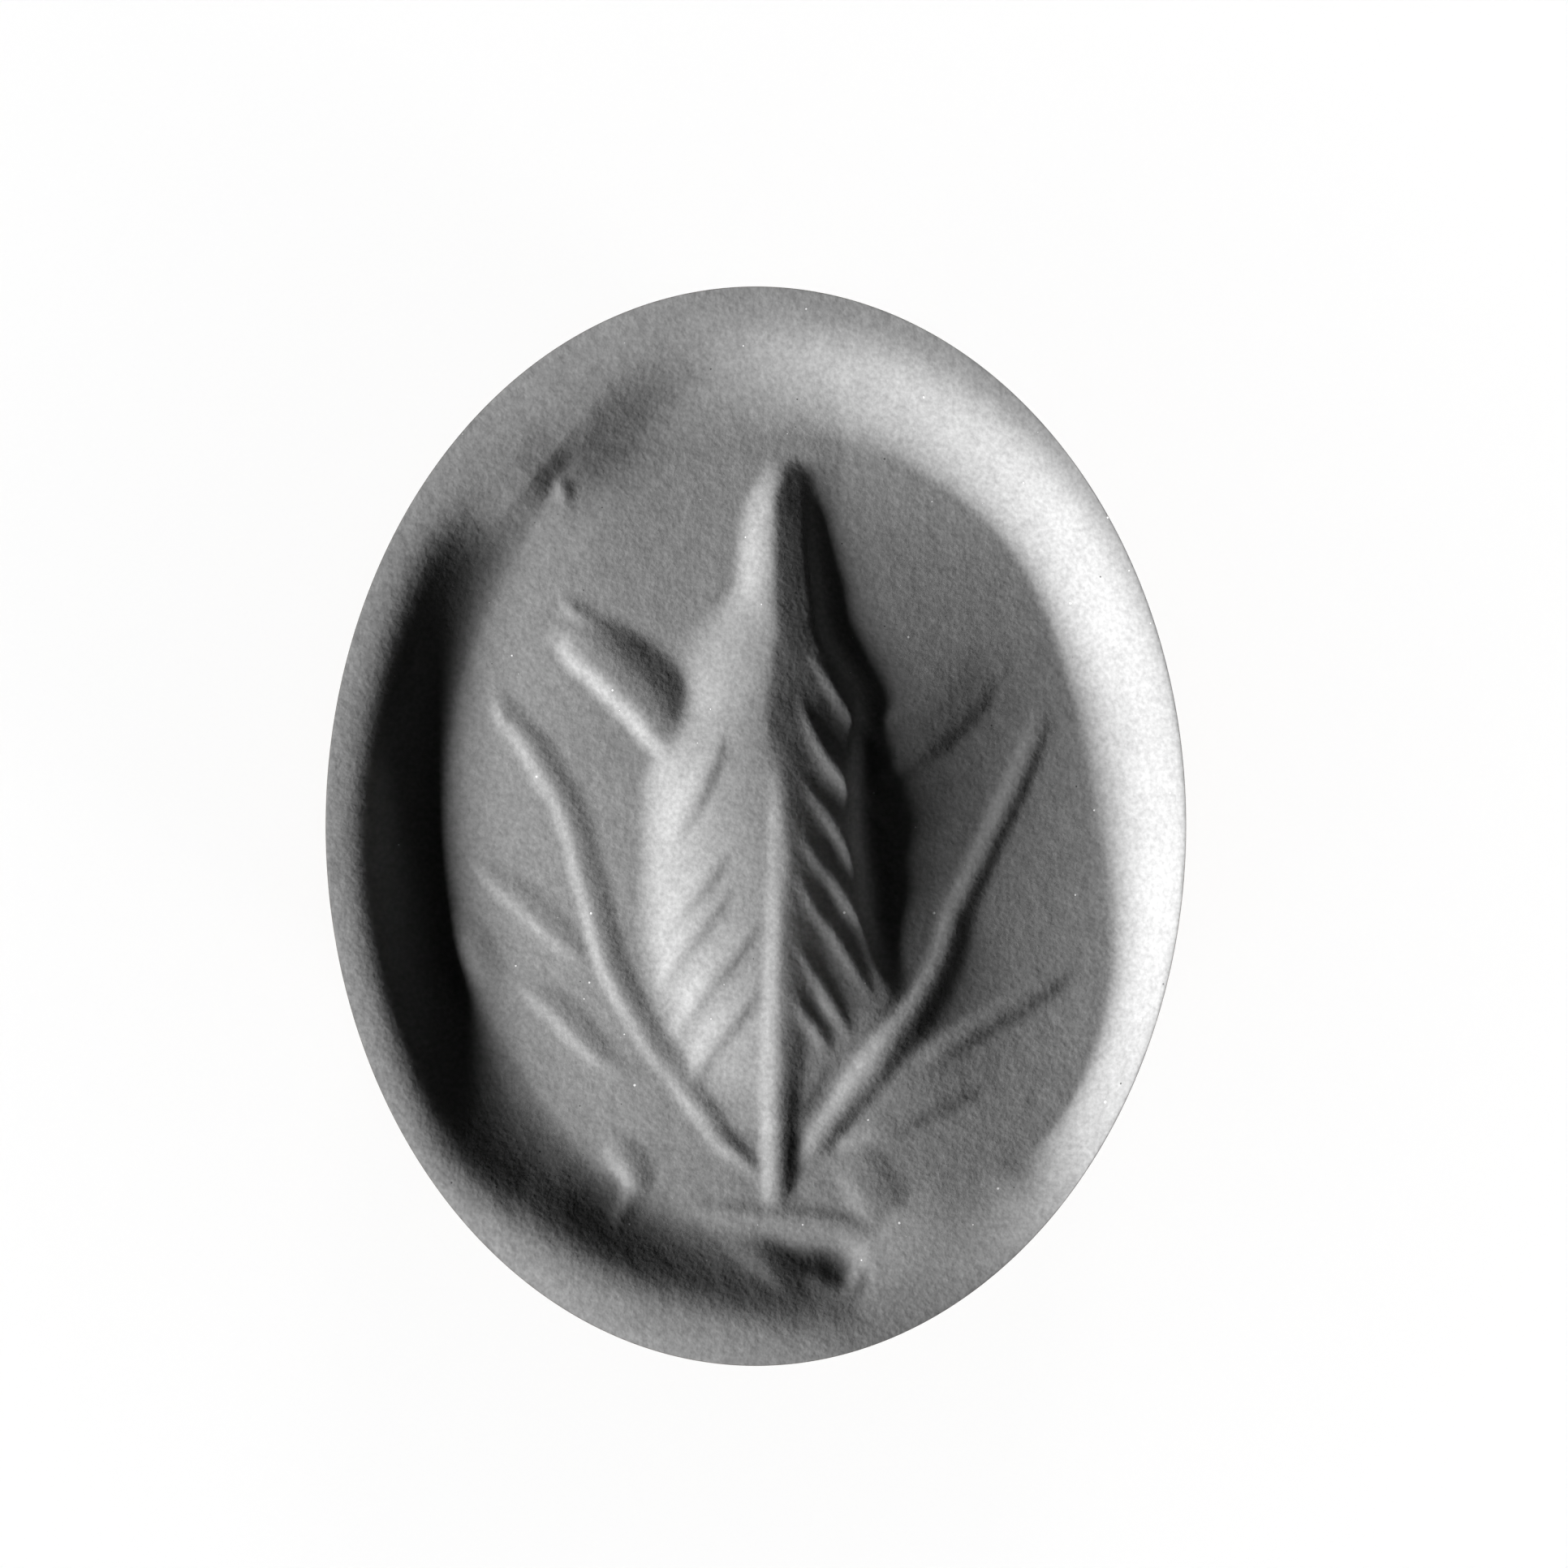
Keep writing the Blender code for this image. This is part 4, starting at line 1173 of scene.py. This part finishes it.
def turned_metal(name, light, dark, roughness):
    """A metal piece off the lathe: fine rings left by the tool, which hang on the distance from the axis and
    on the height, and a thin uneven tarnish."""
    material, tree, place = new_material(name)
    parts = add(tree, "ShaderNodeSeparateXYZ", links={0: place})
    flat = add(tree, "ShaderNodeCombineXYZ", links={0: parts.outputs[0], 1: parts.outputs[1]})
    rings = add(tree, "ShaderNodeCombineXYZ", links={0: far(tree, flat.outputs[0]), 2: parts.outputs[2]})
    tool = noise(tree, 0.14, 2.0, rings.outputs[0])
    tarnish = noise(tree, 4.0, 6.0, place)
    colour = tones(tree, tarnish, (0.35, dark), (0.65, light))
    rough = spread(tree, blend(tree, 0.5, tool, tarnish), 0.3, 0.7, roughness * 0.8, roughness * 1.4)
    look = {"Base Color": colour, "Roughness": rough, "Normal": bump(tree, 0.2, 0.006, tool)}
    principled(tree, {"Metallic": 1.0}, look)
    return material


def oiled_walnut():
    """Walnut, turned and oiled: long brown figure along the handle, dark open pores, a low sheen."""
    material, tree, place = new_material("oiled walnut")
    # The trunk's middle lies beside the handle and leans, and its rings are long along the grain
    trunk = {"Location": (0.019, 0.006, 0.0), "Rotation": (0.03, 0.05, 0.0), "Scale": (1.0, 1.0, 0.09)}
    lean = add(tree, "ShaderNodeMapping", trunk, {"Vector": place})
    growth = {
        "wave_type": "RINGS",
        "rings_direction": "Z",
        "Scale": per_mm(22.0),
        "Distortion": 3.0,
        "Detail": 3.0,
        "Detail Scale": 1.5,
    }
    figure = add(tree, "ShaderNodeTexWave", growth, {"Vector": lean.outputs[0]})
    colour = tones(tree, figure.outputs[1], (0.0, "#4A2C1A"), (0.45, "#6B4327"), (1.0, "#8A5E3B"))
    fibre = stretched(tree, (1.0, 1.0, 0.035), place)
    streaks = noise(tree, 0.5, 4.0, fibre)
    shades = ramp(tree, streaks, [(0.3, (0.45, 0.4, 0.36, 1)), (0.62, (1, 1, 1, 1))])
    streaked = darkened(tree, 0.6, colour, shades)
    pores = noise(tree, 0.22, 1.0, fibre)
    pored = ramp(tree, pores, [(0.31, (0, 0, 0, 1)), (0.37, (1, 1, 1, 1))])
    look = {"Base Color": darkened(tree, 0.55, streaked, pored), "Normal": bump(tree, 0.35, 0.03, pored)}
    principled(tree, {"Roughness": 0.42, "IOR": 1.5, "Coat Weight": 0.15, "Coat Roughness": 0.3}, look)
    return material


def cut_leather():
    """Vegetable-tanned leather, punched out: brown, dull, with a fibrous cut edge."""
    material, tree, place = new_material("tanned leather")
    fuzz = noise(tree, 0.3, 5.0, stretched(tree, (1.0, 1.0, 2.5), place))
    colour = tones(tree, fuzz, (0.3, "#5A3A22"), (0.7, "#9A6A42"))
    look = {"Base Color": colour, "Normal": bump(tree, 0.6, 0.05, fuzz)}
    principled(tree, {"Roughness": 0.8, "IOR": 1.45}, look)
    return material


def set_cement():
    """Shellac-bound stone cement, squeezed out and set: dark brown and slightly rough."""
    material, tree, place = new_material("shellac cement")
    grit = noise(tree, 0.2, 4.0, place)
    colour = tones(tree, grit, (0.3, "#3A2A1E"), (0.7, "#5E4836"))
    look = {"Base Color": colour, "Normal": bump(tree, 0.5, 0.04, grit)}
    principled(tree, {"Roughness": 0.65, "IOR": 1.5}, look)
    return material


composition = cast_composition()
brass = turned_metal("turned brass", "#D9B878", "#C29A55", 0.26)
steel = turned_metal("turned steel", "#C9C9CC", "#A9A9AE", 0.3)
walnut = oiled_walnut()
leather = cut_leather()
cement = set_cement()


def dress(piece, material, slot, body, *nodes):
    """Gives a piece its material and its body, and hides the CAD nodes that it stands for."""
    piece.data.materials.clear()
    piece.data.materials.append(material)
    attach(piece, body)
    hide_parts(*nodes)


# The pieces
PIN_DOME = 0.15
MARK_DOME = 0.2

die = cast_die()
dress(die, composition, "composition", "head", "seal_die")
dress(die_cup(), brass, "brass", "head", "die_cup")
dress(threaded_stud(), steel, "steel", "head", "threaded_stud")
dress(seat_washer(), leather, "leather", "washer", "seat_washer")
dress(ferrule(), brass, "brass", "handle", "ferrule")
dress(handle(), walnut, "walnut", "handle", "handle")
for side, where in ((-1, "left"), (1, "right")):
    seat = (side * FERRULE_RADIUS, 0, PIN_LEVEL)
    pin = domed_pin(f"ferrule_pin_head_{where}", PIN_RADIUS, PIN_LENGTH, PIN_DOME, seat, (side, 0, 0))
    dress(pin, brass, "brass", "handle", f"ferrule_pin_{where}")
seat = (0, -WAIST_RADIUS, MARK_LEVEL)
mark = domed_pin("front_mark_stud", MARK_RADIUS, MARK_LENGTH, MARK_DOME, seat, (0, -1, 0))
dress(mark, brass, "brass", "handle", "front_mark")
dress(pommel_cap(), brass, "brass", "handle", "pommel_cap")
dress(pommel_screw(), steel, "steel", "handle", "pommel_screw")

for name, material in (("setting_cement", cement), ("threaded_insert", brass)):
    node = frame["nodes"][name]
    node.data.materials.clear()
    node.data.materials.append(material)

# Floor, light and camera
WHITE = (1, 1, 1, 1)
FLOOR_SIDE = 4.0
# How nearly white the floor shows, whatever light falls on it
FLOOR_WHITENESS = 0.85


def shown_white(tree, share):
    """A share for camera, mirror and glass rays, and nothing for all others."""
    path = add(tree, "ShaderNodeLightPath")
    amount = path.outputs["Is Camera Ray"]
    for kind in ("Is Glossy Ray", "Is Transmission Ray"):
        rays = {0: amount, 1: path.outputs[kind]}
        amount = add(tree, "ShaderNodeMath", {"operation": "MAXIMUM"}, rays).outputs[0]
    return add(tree, "ShaderNodeMath", {"operation": "MULTIPLY", 1: share}, {0: amount}).outputs[0]


def make_floor():
    deselect()
    bpy.ops.mesh.primitive_plane_add(size=FLOOR_SIDE)
    floor = bpy.context.object
    floor.name = "floor"
    material, tree = new_material("pale studio floor")[:2]
    plain = add(tree, "ShaderNodeBsdfDiffuse", {"Color": linear("#E6E6E6")})
    white = add(tree, "ShaderNodeEmission", {"Color": WHITE, "Strength": 1.0})
    links = {0: shown_white(tree, FLOOR_WHITENESS), 1: plain.outputs[0], 2: white.outputs[0]}
    finish_material(tree, add(tree, "ShaderNodeMixShader", links=links))
    floor.data.materials.append(material)
    return floor


def make_world():
    world = bpy.data.worlds.new("studio")
    bpy.context.scene.world = world
    world.use_nodes = True
    tree = world.node_tree
    tree.nodes.clear()
    sky = add(tree, "ShaderNodeBackground", {"Color": WHITE}, {"Strength": shown_white(tree, 1.0)})
    add(tree, "ShaderNodeOutputWorld", links={"Surface": sky.outputs[0]})


def direction(azimuth, elevation):
    """Unit vector towards a lamp; azimuth is counted from +X towards +Y."""
    turn, rise = math.radians(azimuth), math.radians(elevation)
    return Vector((math.cos(rise) * math.cos(turn), math.cos(rise) * math.sin(turn), math.sin(rise)))


def soft_lamp(name, place, target, size, level, lit=()):
    """A round soft lamp of that size at a place, aimed at a target, both in mm. Level 1 shows white as white
    where its light falls square. If pieces are named, its light falls on them alone."""
    data = bpy.data.lights.new(name, "AREA")
    data.shape = "DISK"
    data.size = size * MM
    lamp = bpy.data.objects.new(name, data)
    bpy.context.scene.collection.objects.link(lamp)
    lamp.location = Vector(place) * MM
    lamp.rotation_euler = (Vector(target) * MM - lamp.location).to_track_quat("-Z", "Y").to_euler()
    data.energy = level * (math.pi * (Vector(place) - Vector(target)).length * MM) ** 2
    lamp.visible_camera = False
    if lit:
        falls_on = bpy.data.collections.new(f"{name} falls on")
        for piece in lit:
            falls_on.objects.link(piece)
        lamp.light_linking.receiver_collection = falls_on


KEY_AZIMUTH = 200
KEY_ELEVATION = 12.1
KEY_DISTANCE = 600
KEY_SIZE = 116
KEY_LEVEL = 5.65
# Lamps besides the raking one: name, place, target, size and level
FLOOR_LAMP = ("lamp over the floor", (0, 0, 900), (0, 0, 0), 500, 1.2)
SIDE_LAMPS = [
    ("low soft lamp right", (420, -300, 30), (0, 0, 40), 120, 0.9),
    ("low soft lamp left", (-420, -300, 30), (0, 0, 40), 120, 0.6),
    ("low soft lamp back", (60, 500, 30), (0, 0, 40), 120, 0.8),
]

floor = make_floor()
middle = Vector((0, 0, FACE))
rake = direction(KEY_AZIMUTH, KEY_ELEVATION) * KEY_DISTANCE
soft_lamp("raking lamp", middle + rake, middle, KEY_SIZE, KEY_LEVEL, [die])
soft_lamp(*FLOOR_LAMP, [floor])
for lamp in SIDE_LAMPS:
    soft_lamp(*lamp)
make_world()

# The camera looks straight down; the picture is 1932 pixels wide and 53.2 of them make 1 mm on the face
PICTURE_SIDE = 1932
PIXELS_PER_MM = 53.2
FACE_MIDDLE_PX = (931.5, 1018.0)
CAMERA_HEIGHT = 300
SENSOR = 36.0


def make_camera():
    data = bpy.data.cameras.new("camera")
    camera = bpy.data.objects.new("camera", data)
    bpy.context.scene.collection.objects.link(camera)
    offset_x = (PICTURE_SIDE / 2 - FACE_MIDDLE_PX[0]) / PIXELS_PER_MM
    offset_y = (FACE_MIDDLE_PX[1] - PICTURE_SIDE / 2) / PIXELS_PER_MM
    camera.location = Vector((offset_x, offset_y, FACE + CAMERA_HEIGHT)) * MM
    data.sensor_width = SENSOR
    data.lens = SENSOR * CAMERA_HEIGHT / (PICTURE_SIDE / PIXELS_PER_MM)
    data.clip_start = 0.01
    data.clip_end = 20
    bpy.context.scene.camera = camera


make_camera()
bpy.context.scene.view_settings.view_transform = "Standard"
